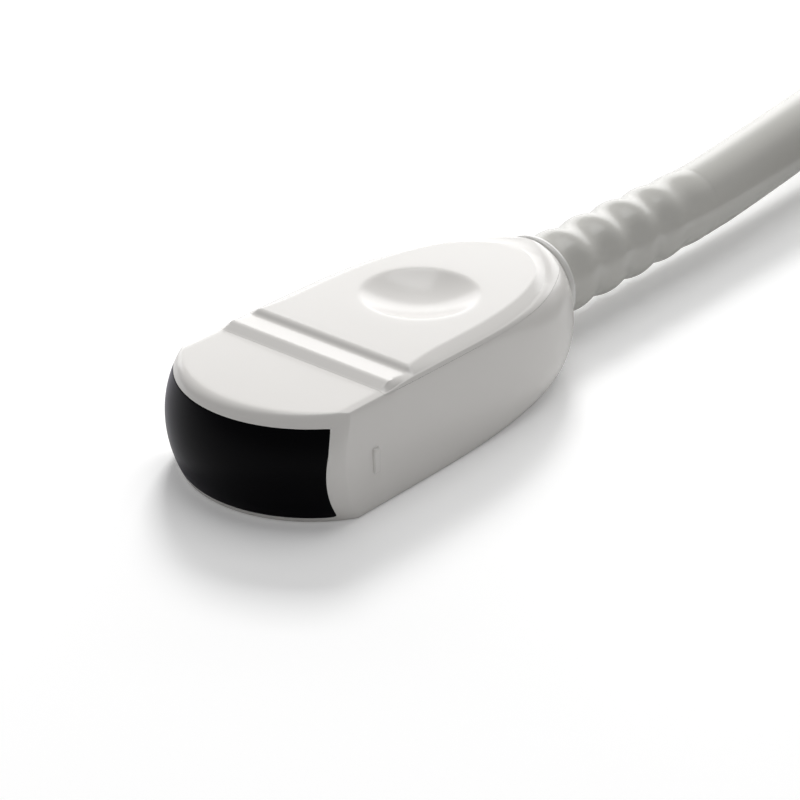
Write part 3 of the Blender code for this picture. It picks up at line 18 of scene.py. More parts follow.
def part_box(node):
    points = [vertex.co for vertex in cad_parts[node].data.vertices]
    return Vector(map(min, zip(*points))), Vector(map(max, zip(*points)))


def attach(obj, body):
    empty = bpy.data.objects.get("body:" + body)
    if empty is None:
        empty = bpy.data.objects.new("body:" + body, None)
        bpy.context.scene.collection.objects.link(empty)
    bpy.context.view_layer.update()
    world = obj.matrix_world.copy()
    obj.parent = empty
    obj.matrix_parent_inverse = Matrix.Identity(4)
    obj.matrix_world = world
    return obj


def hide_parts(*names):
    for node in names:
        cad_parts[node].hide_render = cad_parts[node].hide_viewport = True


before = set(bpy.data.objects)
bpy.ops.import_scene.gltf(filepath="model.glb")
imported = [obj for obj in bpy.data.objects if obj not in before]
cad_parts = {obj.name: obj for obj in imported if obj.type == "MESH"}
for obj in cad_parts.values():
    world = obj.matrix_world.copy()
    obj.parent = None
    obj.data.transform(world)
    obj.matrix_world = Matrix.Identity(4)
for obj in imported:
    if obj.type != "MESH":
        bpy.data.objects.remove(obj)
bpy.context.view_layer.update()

# %% [markdown]
# Sizes are in metres, but a probe is small, so they are written as so many
# millimetres. The nose of the probe is the place from which lengths along Y
# are counted. It follows from the rear end of the housing, which the model
# knows.

# %% Sizes that several steps share
MM = 0.001
BODY_LENGTH = 61.2 * MM
HALF_WIDTH = 15.05 * MM
BODY_HEIGHT = 15.4 * MM
AXIS_HEIGHT = 8.2 * MM
NECK_RADIUS = 7.1 * MM
RELIEF_END = 100.0 * MM
CABLE_RADIUS = 5.4 * MM
NECK_BORE = 4.9 * MM
NOSE_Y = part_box("housing")[1][1] - BODY_LENGTH
print(f"the nose lies at y = {NOSE_Y / MM:.2f} mm")


def mix(first, second, part):
    """Value that lies so far on the way from the first to the second."""
    return first + (second - first) * part


def share(value, start, end):
    """How far a value is on the way from start to end, from 0 to 1."""
    return min(max((value - start) / (end - start), 0.0), 1.0)


def ease(part):
    """The same way with a soft start and a soft end."""
    return part * part * (3 - 2 * part)


# %% [markdown]
# The camera looks down on the probe from its front right corner, from a
# little under 30 degrees above the table. A long lens keeps the perspective
# gentle. A camera looks along its own -Z, so its matrix is put together from
# the three directions that matter: right, up and backwards.

# %% Camera
CAMERA_AZIMUTH = math.radians(40.69)
CAMERA_HEIGHT = math.radians(27.40)
CAMERA_ROLL = math.radians(-0.13)
CAMERA_PLACE = Vector((174.28 * MM, NOSE_Y - 168.81 * MM, 139.87 * MM))
CAMERA_LENS = 103.1

forward = Vector((
    -math.sin(CAMERA_AZIMUTH) * math.cos(CAMERA_HEIGHT),
    math.cos(CAMERA_AZIMUTH) * math.cos(CAMERA_HEIGHT),
    -math.sin(CAMERA_HEIGHT),
))
level = Vector((math.cos(CAMERA_AZIMUTH), math.sin(CAMERA_AZIMUTH), 0.0))
upward = level.cross(forward)
right = level * math.cos(CAMERA_ROLL) + upward * math.sin(CAMERA_ROLL)
upright = upward * math.cos(CAMERA_ROLL) - level * math.sin(CAMERA_ROLL)
turn = Matrix((right, upright, -forward)).transposed()

bpy.ops.object.camera_add(location=CAMERA_PLACE)
camera = bpy.context.object
camera.name = "photo_camera"
camera.rotation_euler = turn.to_euler()
camera.data.lens = CAMERA_LENS
camera.data.sensor_width = 36.0
camera.data.clip_start = 0.01
bpy.context.scene.camera = camera
print("camera", tuple(round(value, 3) for value in camera.location))

# %% [markdown]
# ## Helpers for shapes
#
# The shell is a moulded free form. It could be pushed out of a cube, but its
# sections follow simple rules, so it is made the way a boat is lofted: a grid
# primitive gives the faces, and each of its rows is moved onto one section.
# A turned piece is the outline of one half, spun about its axis.

# %% Helpers for shapes
MERGE_REACH = 0.002 * MM
SPIN_STEPS = 96


def clear_selection():
    """Goes back to object mode with nothing selected."""
    if bpy.context.object and bpy.context.object.mode != "OBJECT":
        bpy.ops.object.mode_set(mode="OBJECT")
    bpy.ops.object.select_all(action="DESELECT")


def pick(piece):
    """Makes a piece the only selected and the active one."""
    clear_selection()
    piece.select_set(True)
    bpy.context.view_layer.objects.active = piece


def settle(piece, smooth_angle=35.0):
    """Shades a finished piece and lets it ride with the probe."""
    pick(piece)
    bpy.ops.object.shade_smooth_by_angle(angle=math.radians(smooth_angle))
    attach(piece, "root")
    print(piece.name, len(piece.data.polygons), "faces")


def begin(name, material):
    """Names the piece that was just added and gives it its finish."""
    piece = bpy.context.object
    piece.name = name
    piece.data.name = name
    piece.data.materials.append(material)
    return piece


def cut_opening(shape, width, skip, edge_pairs):
    """Drops the faces to skip from a grid that is so many points wide.

    That opens an outer and an inner skin. The pairs of grid places round the
    opening's edge are joined by a strip of faces.
    """
    shape.verts.ensure_lookup_table()
    strip = [[shape.verts[row * width + column] for row, column in pair] for pair in edge_pairs]
    dropped = []
    for face in shape.faces:
        lowest = min(vertex.index for vertex in face.verts)
        if skip(lowest // width, lowest % width):
            dropped.append(face)
    bmesh.ops.delete(shape, geom=dropped, context="FACES")
    for (outer, inner), (next_outer, next_inner) in zip(strip, strip[1:] + strip[:1]):
        shape.faces.new((outer, next_outer, next_inner, inner))


def surface(name, rows, material, wrap=False, skip=None, edge_pairs=()):
    """Moves a grid primitive onto rows of points and cuts its opening, if any.

    A surface that wraps has a closed ring of points in each row.
    """
    points = [list(row) + ([row[0]] if wrap else []) for row in rows]
    width = len(points[0])
    clear_selection()
    bpy.ops.mesh.primitive_grid_add(x_subdivisions=width - 1, y_subdivisions=len(rows) - 1, size=1)
    piece = begin(name, material)
    flat = np.array(points, dtype=np.float64).reshape(-1)
    piece.data.vertices.foreach_set("co", flat)
    piece.location = (0.0, 0.0, 0.0)
    shape = bmesh.new()
    shape.from_mesh(piece.data)
    if skip is not None:
        cut_opening(shape, width, skip, edge_pairs)
    bmesh.ops.remove_doubles(shape, verts=shape.verts, dist=MERGE_REACH)
    shape.to_mesh(piece.data)
    shape.free()
    piece.data.update()
    return piece


def face_upwards(piece):
    """Turns all faces of an open shell over if they mostly look down."""
    if sum(face.normal.z * face.area for face in piece.data.polygons) < 0:
        piece.data.flip_normals()


def turn_outwards(piece, fill_ends=False):
    """Turns a piece's faces outwards, and fills its open ends if asked to."""
    pick(piece)
    bpy.ops.object.mode_set(mode="EDIT")
    bpy.ops.mesh.select_all(action="SELECT")
    if fill_ends:
        bpy.ops.mesh.fill_holes(sides=0)
    bpy.ops.mesh.normals_make_consistent(inside=False)
    bpy.ops.object.mode_set(mode="OBJECT")


def give_wall(piece, thickness):
    """Thickens an open shell inwards and applies it."""
    pick(piece)
    wall = piece.modifiers.new("wall", "SOLIDIFY")
    wall.thickness = thickness
    wall.offset = -1.0
    bpy.ops.object.modifier_apply(modifier=wall.name)


def spun(name, profile, material):
    """Spins a closed half outline of radius and length about the lead's axis."""
    clear_selection()
    bpy.ops.mesh.primitive_circle_add(vertices=len(profile), radius=1.0)
    piece = begin(name, material)
    for vertex, (radius, y) in zip(piece.data.vertices, profile):
        vertex.co = (0.0, NOSE_Y + y, AXIS_HEIGHT + radius)
    bpy.ops.object.mode_set(mode="EDIT")
    bpy.ops.mesh.select_all(action="SELECT")
    bpy.ops.mesh.spin(
        steps=SPIN_STEPS,
        angle=2 * math.pi,
        center=(0.0, NOSE_Y, AXIS_HEIGHT),
        axis=(0.0, 1.0, 0.0),
    )
    bpy.ops.mesh.select_all(action="SELECT")
    bpy.ops.mesh.remove_doubles(threshold=MERGE_REACH)
    bpy.ops.mesh.normals_make_consistent(inside=False)
    bpy.ops.object.mode_set(mode="OBJECT")
    return piece


# %% [markdown]
# ## Finishes
#
# Moulded plastic is never one flat value. Its skin carries a faint texture
# from the tool, its gloss varies a little where hands have polished it, and
# its colour drifts slightly. One helper lays these over any base colour with
# noise textures in the piece's own coordinates, and each finish then sets
# its own scale and strength.

# %% A helper for finishes
COAT_ROUGHNESS = 0.15
PATCH_SCALE = 60.0
RUBBED_SCALE = 140.0
GLOSS_SPREAD = 0.15
SKIN_STRENGTH = 0.35
DRIFT_PLACES = (0.3, 0.7)


def finish(name, colour, roughness, metallic=0.0, coat=0.0):
    """Material with one colour and gloss, on which the patterns are laid."""
    made = bpy.data.materials.new(name)
    made.use_nodes = True
    shader = made.node_tree.nodes["Principled BSDF"]
    shader.inputs["Base Color"].default_value = (*colour, 1.0)
    shader.inputs["Roughness"].default_value = roughness
    shader.inputs["Metallic"].default_value = metallic
    shader.inputs["Coat Weight"].default_value = coat
    shader.inputs["Coat Roughness"].default_value = COAT_ROUGHNESS
    return made


def noise(made, scale, detail, stretch=(1.0, 1.0, 1.0)):
    """Noise texture in the piece's own coordinates."""
    nodes = made.node_tree.nodes
    links = made.node_tree.links
    place = nodes.new("ShaderNodeTexCoord")
    spread = nodes.new("ShaderNodeMapping")
    spread.inputs["Scale"].default_value = stretch
    made_noise = nodes.new("ShaderNodeTexNoise")
    made_noise.inputs["Scale"].default_value = scale
    made_noise.inputs["Detail"].default_value = detail
    links.new(place.outputs["Object"], spread.inputs["Vector"])
    links.new(spread.outputs["Vector"], made_noise.inputs["Vector"])
    return made_noise.outputs["Fac"]


def tint(colour, change):
    """Colour made darker or lighter, held between black and white."""
    return tuple(min(max(value * change, 0.0), 1.0) for value in colour)


def colour_drift(made, source, colour, darker, lighter, places=DRIFT_PLACES):
    """Base colour that goes from a darker to a lighter tint with a value."""
    node = made.node_tree.nodes.new("ShaderNodeValToRGB")
    for element, place, change in zip(node.color_ramp.elements, places, (darker, lighter)):
        element.position = place
        element.color = (*tint(colour, change), 1.0)
    made.node_tree.links.new(source, node.inputs["Fac"])
    shader = made.node_tree.nodes["Principled BSDF"]
    made.node_tree.links.new(node.outputs["Color"], shader.inputs["Base Color"])


def uneven_gloss(made, source, roughness, spread):
    """Roughness that goes up and down by a share of itself with a value."""
    node = made.node_tree.nodes.new("ShaderNodeMapRange")
    node.inputs["To Min"].default_value = roughness * (1 - spread)
    node.inputs["To Max"].default_value = roughness * (1 + spread)
    made.node_tree.links.new(source, node.inputs["Value"])
    shader = made.node_tree.nodes["Principled BSDF"]
    made.node_tree.links.new(node.outputs["Result"], shader.inputs["Roughness"])


def bump(made, source, strength, distance):
    """Bump from a value, on the shader's normal."""
    node = made.node_tree.nodes.new("ShaderNodeBump")
    node.inputs["Strength"].default_value = strength
    node.inputs["Distance"].default_value = distance
    made.node_tree.links.new(source, node.inputs["Height"])
    shader = made.node_tree.nodes["Principled BSDF"]
    made.node_tree.links.new(node.outputs["Normal"], shader.inputs["Normal"])


def moulded(name, colour, roughness, grain, depth, drift, coat=0.0):
    """Moulded plastic or rubber: colour drift, uneven gloss and a fine skin."""
    made = finish(name, colour, roughness, coat=coat)
    colour_drift(made, noise(made, PATCH_SCALE, detail=3.0), colour, 1 - drift, 1 + drift)
    uneven_gloss(made, noise(made, RUBBED_SCALE, detail=5.0), roughness, GLOSS_SPREAD)
    bump(made, noise(made, grain, detail=6.0), SKIN_STRENGTH, depth)
    return made


# %% [markdown]
# The shell is white plastic, a shade warm, glossy enough to mirror a large
# light softly. The lens is soft silicone, almost black with a blue cast, and
# hardly mirrors anything. Lead and strain relief are the same pale grey.

# %% Finishes that show
PALE_GREY = (0.56, 0.552, 0.522)

shell_white = moulded("shell_white", (0.78, 0.762, 0.738), 0.20, 1500.0, 0.004 * MM, 0.008)
lens_black = moulded("lens_black", (0.0006, 0.0006, 0.0010), 0.34, 1800.0, 0.003 * MM, 0.12)
lens_shader = lens_black.node_tree.nodes["Principled BSDF"]
lens_shader.inputs["Specular IOR Level"].default_value = 0.05
lens_shader.inputs["Sheen Weight"].default_value = 0.10
lens_shader.inputs["Sheen Roughness"].default_value = 0.35
lens_shader.inputs["Sheen Tint"].default_value = (0.75, 0.68, 1.0, 1.0)
relief_grey = moulded("relief_grey", PALE_GREY, 0.23, 1100.0, 0.004 * MM, 0.02)
jacket_grey = moulded("jacket_grey", PALE_GREY, 0.23, 1100.0, 0.004 * MM, 0.02)
collar_grey = moulded("collar_grey", (0.70, 0.69, 0.67), 0.22, 1200.0, 0.003 * MM, 0.015, 0.3)
plug_grey = moulded("plug_grey", (0.62, 0.615, 0.60), 0.45, 900.0, 0.01 * MM, 0.02)
print("the finishes that show are made")

# %% [markdown]
# ## The lead
#
# The lead has one real length. It leaves the strain relief, stays a little
# above the table in an easy bend and comes down to a tidy coil, where the
# length that isn't in use is wound and tied. The route there and the tail to
# the plug are short lists of given points. The coil's turns are
# worked out: each turn has a slot in the coil's section, three slots below
# and two above, and on half a turn the lead crosses from one slot to the
# next, so that it never lies in itself.

# %% Route of the lead
LEAD_ROUTE = (
    (0.0, 0.3, 8.2),
    (-0.1, 6.0, 8.4),
    (-0.5, 14.0, 8.8),
    (-1.1, 24.0, 9.3),
    (-1.8, 34.0, 9.8),
    (-2.5, 44.0, 10.2),
    (-3.6, 52.0, 10.3),
    (-6.0, 62.0, 9.6),
    (-9.5, 73.0, 8.2),
    (-12.6, 84.0, 7.0),
    (-14.0, 92.0, 6.7),
)
TAIL_ROUTE = (
    (0.0, 0.0, 6.7),
    (-0.6, -8.0, 6.8),
    (-2.6, -16.0, 7.0),
    (-6.4, -24.5, 7.3),
    (-10.2, -33.0, 7.7),
    (-12.2, -41.0, 7.9),
    (-12.8, -49.0, 8.0),
    (-12.8, -55.0, 8.0),
)
COIL_X = 50.9 * MM
COIL_Y = RELIEF_END + 98.6 * MM
COIL_RADIUS = 54.2 * MM
SLOT_PITCH = 2 * CABLE_RADIUS + 0.1 * MM
LOW_TURN = 6.7 * MM
HIGH_TURN = LOW_TURN + SLOT_PITCH * math.sqrt(3.0) / 2
OUTER = COIL_RADIUS + SLOT_PITCH
INNER = COIL_RADIUS - SLOT_PITCH
UPPER_INNER = COIL_RADIUS - SLOT_PITCH / 2
UPPER_OUTER = COIL_RADIUS + SLOT_PITCH / 2
TURN_STEPS = 18


def beside(radius, angle):
    """Place of a turn that touches its lower neighbour at the given angle."""
    slope = math.radians(angle)
    return radius + SLOT_PITCH * math.cos(slope), LOW_TURN + SLOT_PITCH * math.sin(slope)


def crossing(kind, part):
    """Radius and height on the half turn where the lead changes slots."""
    moved = (1 - math.cos(math.pi * part)) / 2
    moving_in = mix(COIL_RADIUS, INNER, moved)
    moving_out = mix(OUTER, COIL_RADIUS, moved)
    if kind == "outer_to_middle":
        return moving_out, LOW_TURN
    if kind == "middle_to_inner":
        return moving_in, LOW_TURN
    if kind == "inner_to_upper":
        return beside(moving_in, mix(180.0, 60.0, moved))
    if kind == "upper_across":
        radius = mix(UPPER_INNER, UPPER_OUTER, moved)
        nearest = min(abs(radius - moving_in), abs(radius - moving_out))
        return radius, LOW_TURN + math.sqrt(SLOT_PITCH ** 2 - nearest ** 2)
    return beside(moving_out, mix(120.0, 0.0, moved))


def coil_places():
    """Angle, radius and height along all the turns, from entry to exit.

    Each turn changes slots on its first half and stays in its slot on the
    second one. The last turn leaves the coil where its second half begins.
    """
    turns = (
        ("outer_to_middle", COIL_RADIUS, LOW_TURN),
        ("middle_to_inner", INNER, LOW_TURN),
        ("inner_to_upper", UPPER_INNER, HIGH_TURN),
        ("upper_across", UPPER_OUTER, HIGH_TURN),
        ("upper_to_table", OUTER, LOW_TURN),
    )
    places = []
    for number, (kind, radius, height) in enumerate(turns):
        start = 180.0 - 360.0 * number
        for index in range(TURN_STEPS):
            part = index / TURN_STEPS
            places.append((start - 180.0 * part, *crossing(kind, part)))
        steps_in_slot = 1 if kind == "upper_to_table" else TURN_STEPS
        for index in range(steps_in_slot):
            places.append((start - 180.0 - 180.0 * index / TURN_STEPS, radius, height))
    return places


# %% [markdown]
# The route, the turns and the tail become one list of points. A smooth curve
# through them rounds what the list leaves as corners, and a curve object with
# a round bevel turns the closer points into the lead.

# %% The lead
POINT_STEP = 5.0 * MM
TAIL_START = Vector((COIL_X + 65.0 * MM, COIL_Y - 38.03 * MM, 0.0))


def smooth_between(points, step):
    """Points at even steps on a smooth curve through the given points."""
    dense = []
    for index in range(len(points) - 1):
        before = points[max(index - 1, 0)]
        near = points[index]
        far = points[index + 1]
        after = points[min(index + 2, len(points) - 1)]
        count = max(int((far - near).length / step), 1)
        for place in range(count):
            part = place / count
            dense.append(0.5 * (
                2 * near
                + (far - before) * part
                + (2 * before - 5 * near + 4 * far - after) * part ** 2
                + (3 * near - before - 3 * far + after) * part ** 3
            ))
    dense.append(points[-1])
    return dense


lead_points = [
    Vector((x * MM, RELIEF_END + y * MM, z * MM)) for x, y, z in LEAD_ROUTE
]
for angle, radius, height in coil_places():
    turned_by = math.radians(angle)
    lead_points.append(Vector((
        COIL_X + radius * math.cos(turned_by),
        COIL_Y + radius * math.sin(turned_by),
        height,
    )))
for x, y, z in TAIL_ROUTE:
    lead_points.append(TAIL_START + Vector((x, y, z)) * MM)
lead_points = [point + Vector((0.0, NOSE_Y, 0.0)) for point in lead_points]
lead_points = smooth_between(lead_points, POINT_STEP)

clear_selection()
bpy.ops.curve.primitive_bezier_curve_add(location=(0.0, 0.0, 0.0))
lead = bpy.context.object
lead.name = "grey_lead"
lead.data.splines.clear()
line = lead.data.splines.new("POLY")
line.points.add(len(lead_points) - 1)
for spot, place in zip(line.points, lead_points):
    spot.co = (*place, 1.0)
lead.data.dimensions = "3D"
lead.data.bevel_depth = CABLE_RADIUS
lead.data.bevel_resolution = 6
lead.data.use_fill_caps = True
line.use_smooth = True
lead.data.materials.append(jacket_grey)

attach(lead, "root")
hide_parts("probe_cable", "cable_coil", "plug_cable")

# %% [markdown]
# ## The shell's form
#
# Seen from above the shell is straight at the nose and closes to the round
# neck. Its sides lean in a little and its back is flat. These rules give a
# section at any place along the probe. The heights along the top make the
# two grip steps, and a shallow bowl is taken out for the thumb. The powers
# say how late a width starts to close and how fully it does.

# %% Rules of the shell's sections
SIDE_WALL = 1.3 * MM
EDGE_TUCK = 1.25 * MM
FOOT_TUCK = 0.45 * MM
BELLY_HEIGHT = 1.5 * MM
TAPER_START = 30.0 * MM
FOOT_TAPER_START = 20.0 * MM
LIFT_START = 52.0 * MM
WIDTH_POWER = 4.5
EDGE_POWERS = (2.7, 0.77)
FOOT_POWERS = (3.2, 0.85)
BELLY_POWER = 1.3
NOSE_RIM = 14.3 * MM
RIM = 14.65 * MM
SEAM = 14.1 * MM
SEAM_LINE = 0.02 * MM
STEP_ONE_FOOT = 14.77 * MM
STEP_ONE_CREST = 16.5 * MM
STEP_TWO_FOOT = 19.96 * MM
STEP_TWO_CREST = 20.86 * MM
NOSE_TOP = 14.45 * MM
STEP_ONE_TOP = 15.15 * MM
LAND_TOP = 14.8 * MM
STEP_SOFTNESS = 0.28 * MM
REAR_SOFTNESS = 0.9 * MM
PAD_END = 57.8 * MM
PAD_FADE = 59.6 * MM
PAD_CLOSING = 8.0 * MM
PAD_SHARE = 0.87
NOSE_PAD_EXTRA = 0.08
NOSE_PAD_FADE = 6.0 * MM
DISH_Y = 37.85 * MM
DISH_RADIUS = 7.8 * MM
DISH_DEPTH = 1.8 * MM
DISH_SOFTNESS = 0.10 * MM
DISH_REACH = 1.3
SHOULDER_BULGE = 0.85


def closing(part, powers):
    """Share of a width that is left after a part of the way to its end."""
    late, full = powers
    return (1 - part ** late) ** full


def section(y):
    """Half widths and heights of the cross-section at y."""
    rear = share(y, TAPER_START, BODY_LENGTH)
    foot = share(y, FOOT_TAPER_START, BODY_LENGTH)
    lift = share(y, LIFT_START, BODY_LENGTH)
    rim = mix(NOSE_RIM, RIM, ease(share(y, STEP_ONE_FOOT, STEP_TWO_CREST)))
    return {
        "widest": mix(HALF_WIDTH, NECK_RADIUS, rear ** WIDTH_POWER),
        "edge": (HALF_WIDTH - EDGE_TUCK) * closing(rear, EDGE_POWERS),
        "foot": (HALF_WIDTH - FOOT_TUCK) * closing(foot, FOOT_POWERS),
        "low": (AXIS_HEIGHT - NECK_RADIUS) * lift ** 2,
        "rim": mix(rim, AXIS_HEIGHT + NECK_RADIUS, ease(lift)),
        "belly": mix(BELLY_HEIGHT, AXIS_HEIGHT, foot ** BELLY_POWER),
    }


def step_height(y):
    """Height of the top along the middle line, with sharp corners."""
    rim = section(y)["rim"]
    corners = (
        (STEP_ONE_FOOT, NOSE_TOP),
        (STEP_ONE_CREST, STEP_ONE_TOP),
        (STEP_TWO_FOOT, LAND_TOP),
        (STEP_TWO_CREST, BODY_HEIGHT),
        (PAD_END, BODY_HEIGHT),
        (PAD_FADE, rim),
    )
    if y <= STEP_ONE_FOOT:
        return NOSE_TOP
    for (near, low), (far, high) in zip(corners, corners[1:]):
        if y <= far:
            return max(mix(low, high, share(y, near, far)), rim)
    return rim


def top_height(y):
    """The same height with its corners rounded, as a mould leaves them."""
    reach = REAR_SOFTNESS if y > TAPER_START else STEP_SOFTNESS
    places = [y + reach * (index - 3) / 3 for index in range(7)]
    return sum(step_height(place) for place in places) / len(places)


def pad_half(y):
    """Half width of the flat pad on top."""
    edge = section(y)["edge"]
    past_steps = ease(share(y, STEP_ONE_CREST, STEP_TWO_CREST + NOSE_PAD_FADE))
    wanted = PAD_SHARE + NOSE_PAD_EXTRA * (1 - past_steps)
    closed = share(y, PAD_END - PAD_CLOSING, PAD_END)
    return max(edge * wanted * math.sqrt(1 - closed ** 3), 0.2 * edge)


def dish(x, y):
    """Depth of the thumb dish, with a softened rim."""
    away = math.hypot(x, y - DISH_Y) / DISH_RADIUS
    if away > DISH_REACH:
        return 0.0
    depth = DISH_DEPTH * (1 - away * away)
    softened = (depth + math.hypot(depth, DISH_SOFTNESS)) / 2
    return softened * (1 - ease(share(away, 1.1, DISH_REACH)))


# %% [markdown]
# One row of the shell is a ring of points. It starts at the middle of the
# back, goes round the foot, up the side to the seam between the two
# mouldings, over the rim and its chamfer and in to the middle of the pad.
# The left half mirrors the right one.

# %% Rings of the shell
FLOOR_POINTS = 16
FOOT_POINTS = 10
SIDE_POINTS = 22
RIM_POINTS = 5
CHAMFER_POINTS = 9
PAD_POINTS = 30
SEAM_INDEX = FLOOR_POINTS + FOOT_POINTS + SIDE_POINTS


def right_half(y):
    """Points of the ring's right half, from the back to the middle of the pad."""
    part = section(y)
    belly = part["belly"]
    rim = part["rim"]
    points = [(part["foot"] * index / FLOOR_POINTS, part["low"]) for index in range(FLOOR_POINTS)]
    for index in range(FOOT_POINTS):
        angle = math.pi / 2 * index / FOOT_POINTS
        points.append((
            mix(part["foot"], part["widest"], math.sin(angle)),
            mix(belly, part["low"], math.cos(angle)),
        ))

    def on_side(angle):
        return (
            mix(part["edge"], part["widest"], math.cos(angle)),
            mix(belly, rim, math.sin(angle)),
        )

    seam_angle = math.asin(share(SEAM, belly, rim))
    cover_angle = math.asin(share(SEAM + SEAM_LINE, belly, rim))
    for index in range(SIDE_POINTS):
        points.append(on_side(seam_angle * index / SIDE_POINTS))
    points.append(on_side(seam_angle))
    for index in range(RIM_POINTS + 1):
        points.append(on_side(mix(cover_angle, math.pi / 2, index / RIM_POINTS)))
    pad = pad_half(y)
    top = top_height(y)
    for index in range(1, CHAMFER_POINTS + 1):
        along = index / (CHAMFER_POINTS + 1)
        points.append((mix(part["edge"], pad, along), mix(rim, top, along ** SHOULDER_BULGE)))
    for index in range(PAD_POINTS + 1):
        x = pad * (1 - index / PAD_POINTS)
        points.append((x, top - dish(x, y)))
    return points


def full_ring(y):
    """Points of the whole ring at y, as pairs of x and z."""
    half = right_half(y)
    return half + [(-x, z) for x, z in half[-2:0:-1]]


RING_COUNT = len(full_ring(0.0))
print("points in a ring:", RING_COUNT)

# %% [markdown]
# The nose ends in a barrel-shaped face round the lens. Near it each ring is
# bent back to follow that face. The bend fades out before the first grip
# step, so the sections behind it stay flat. A quarter circle rounds the
# edge between the sides and the face. From there the rows go in over the
# face to the lens window, roll over its lip and go back into it.

# %% The barrel-shaped nose
FACE_RADIUS = 17.4 * MM
FACE_CROWN = 1.3 * MM
FACE_MIDDLE = 6.85 * MM
FACE_HALF_HEIGHT = 6.05 * MM
WINDOW_HALF = 13.6 * MM
CORNER_POWER = 40.0
EDGE_ROUND = 1.1 * MM
TOP_ROUND = 0.8 * MM
FOOT_ROUND = 0.25 * MM
ROUND_ROWS = 8
WINDOW_DEPTH = 2.6 * MM
LIP_ROLL = 0.08 * MM
LIP_WIDTH = 0.1 * MM


def face_y(x, z):
    """How far back the barrel-shaped face lies at a place on it."""
    bulge = FACE_CROWN * (1 - ((z - FACE_MIDDLE) / FACE_HALF_HEIGHT) ** 2)
    radius = FACE_RADIUS + max(bulge, -FACE_CROWN)
    return FACE_RADIUS - math.sqrt(radius * radius - x * x)


def bent_ring(y, tuck=0.0):
    """Ring of the shell, bent back near the nose and tucked in at the face."""
    fade = 1 - share(y, 0.0, STEP_ONE_FOOT)
    ring = []
    for x, z in full_ring(y):
        away = abs(z - FACE_MIDDLE) / FACE_MIDDLE
        lowered = TOP_ROUND if z > FACE_MIDDLE else -FOOT_ROUND
        height = z - tuck * lowered * away
        place = x * (1 - tuck * EDGE_ROUND / HALF_WIDTH)
        back = fade * face_y(place, height) if fade > 0 else 0.0
        ring.append((place, NOSE_Y + y + back, height))
    return ring


def window_outline(ring, shrink=0.0):
    """Round-cornered window outline, one point for each point of a ring."""
    outline = []
    for x, _, z in ring:
        across = x / (WINDOW_HALF - shrink)
        up = (z - FACE_MIDDLE) / (FACE_HALF_HEIGHT - shrink)
        reach = (abs(across) ** CORNER_POWER + abs(up) ** CORNER_POWER) ** (1 / CORNER_POWER)
        outline.append((x / reach, FACE_MIDDLE + (z - FACE_MIDDLE) / reach))
    return outline


def on_face(outline, push=0.0):
    """Row of points on the face, or pushed into the nose by so much."""
    return [(x, NOSE_Y + face_y(x, z) + push, z) for x, z in outline]


def nose_rows_from(front_ring):
    """Rows from deep in the window over its lip and over the face's edge."""
    window = window_outline(front_ring)
    rows = [on_face(window, WINDOW_DEPTH), on_face(window, LIP_ROLL)]
    for part in (0.4, 0.8):
        grown = window_outline(front_ring, -LIP_ROLL * part)
        rows.append(on_face(grown, LIP_ROLL * (1 - part) ** 2))
    lip = window_outline(front_ring, -LIP_WIDTH)
    for part in (0.0, 0.35, 0.7):
        rows.append(on_face([
            (mix(x, edge_x, part), mix(z, edge_z, part))
            for (x, z), (edge_x, _, edge_z) in zip(lip, front_ring)
        ]))
    for index in range(ROUND_ROWS):
        angle = math.pi / 2 * index / ROUND_ROWS
        rows.append(bent_ring(EDGE_ROUND * (1 - math.cos(angle)), 1 - math.sin(angle)))
    return rows


front_ring = bent_ring(0.0, 1.0)
nose_rows = nose_rows_from(front_ring)
print("rows round the nose:", len(nose_rows))

# %% [markdown]
# Rows are packed closely where the form turns fast, at the nose, the grip
# steps and the dish, and loosely where it runs straight. The housing is one
# closed skin. Its rows start in the window, go over the outside, round the
# neck's end and back along the inside to the window. Behind the first step it
# is open above the seam, and a strip of faces joins its two skins round that
# opening. The cover lies there. It has the same rows and a wall of its own.

# %% Housing and cover
ROW_SPACING = (
    (EDGE_ROUND, 0.6 * MM),
    (STEP_ONE_FOOT, SEAM_LINE),
    (STEP_ONE_FOOT + SEAM_LINE, 0.14 * MM),
    (22.0 * MM, 0.5 * MM),
    (29.0 * MM, 0.32 * MM),
    (47.0 * MM, 0.4 * MM),
)
COVER_WALL = 0.8 * MM
NECK_SEAT = 1.9 * MM
NECK_END_WALL = 2.2 * MM
INNER_NOSE_STATIONS = (12.5 * MM, 11.0 * MM)


def stations():
    """Places of the rows behind the nose, from each stretch's start and step."""
    ends = [start for start, _ in ROW_SPACING[1:]] + [BODY_LENGTH]
    places = []
    for (start, step), end in zip(ROW_SPACING, ends):
        count = max(int(round((end - start) / step)), 1)
        places += [mix(start, end, index / count) for index in range(count)]
    return places + [BODY_LENGTH]


def bore_row(row):
    """Row drawn in to the round bore in the neck's end."""
    ring = []
    for x, y, z in row:
        reach = math.hypot(x, z - AXIS_HEIGHT)
        ring.append((x * NECK_BORE / reach, y, AXIS_HEIGHT + (z - AXIS_HEIGHT) * NECK_BORE / reach))
    return ring


def inner_ring(y):
    """Inside of the wall: the outer ring drawn in by the wall's thickness."""
    part = section(y)
    narrow = 1 - SIDE_WALL / part["widest"]
    middle = (part["low"] + part["rim"]) / 2
    flat = 1 - SIDE_WALL / (part["rim"] - middle)
    place = NOSE_Y + min(y, BODY_LENGTH - NECK_END_WALL)
    return [(x * narrow, place, middle + (z - middle) * flat) for x, z in full_ring(y)]


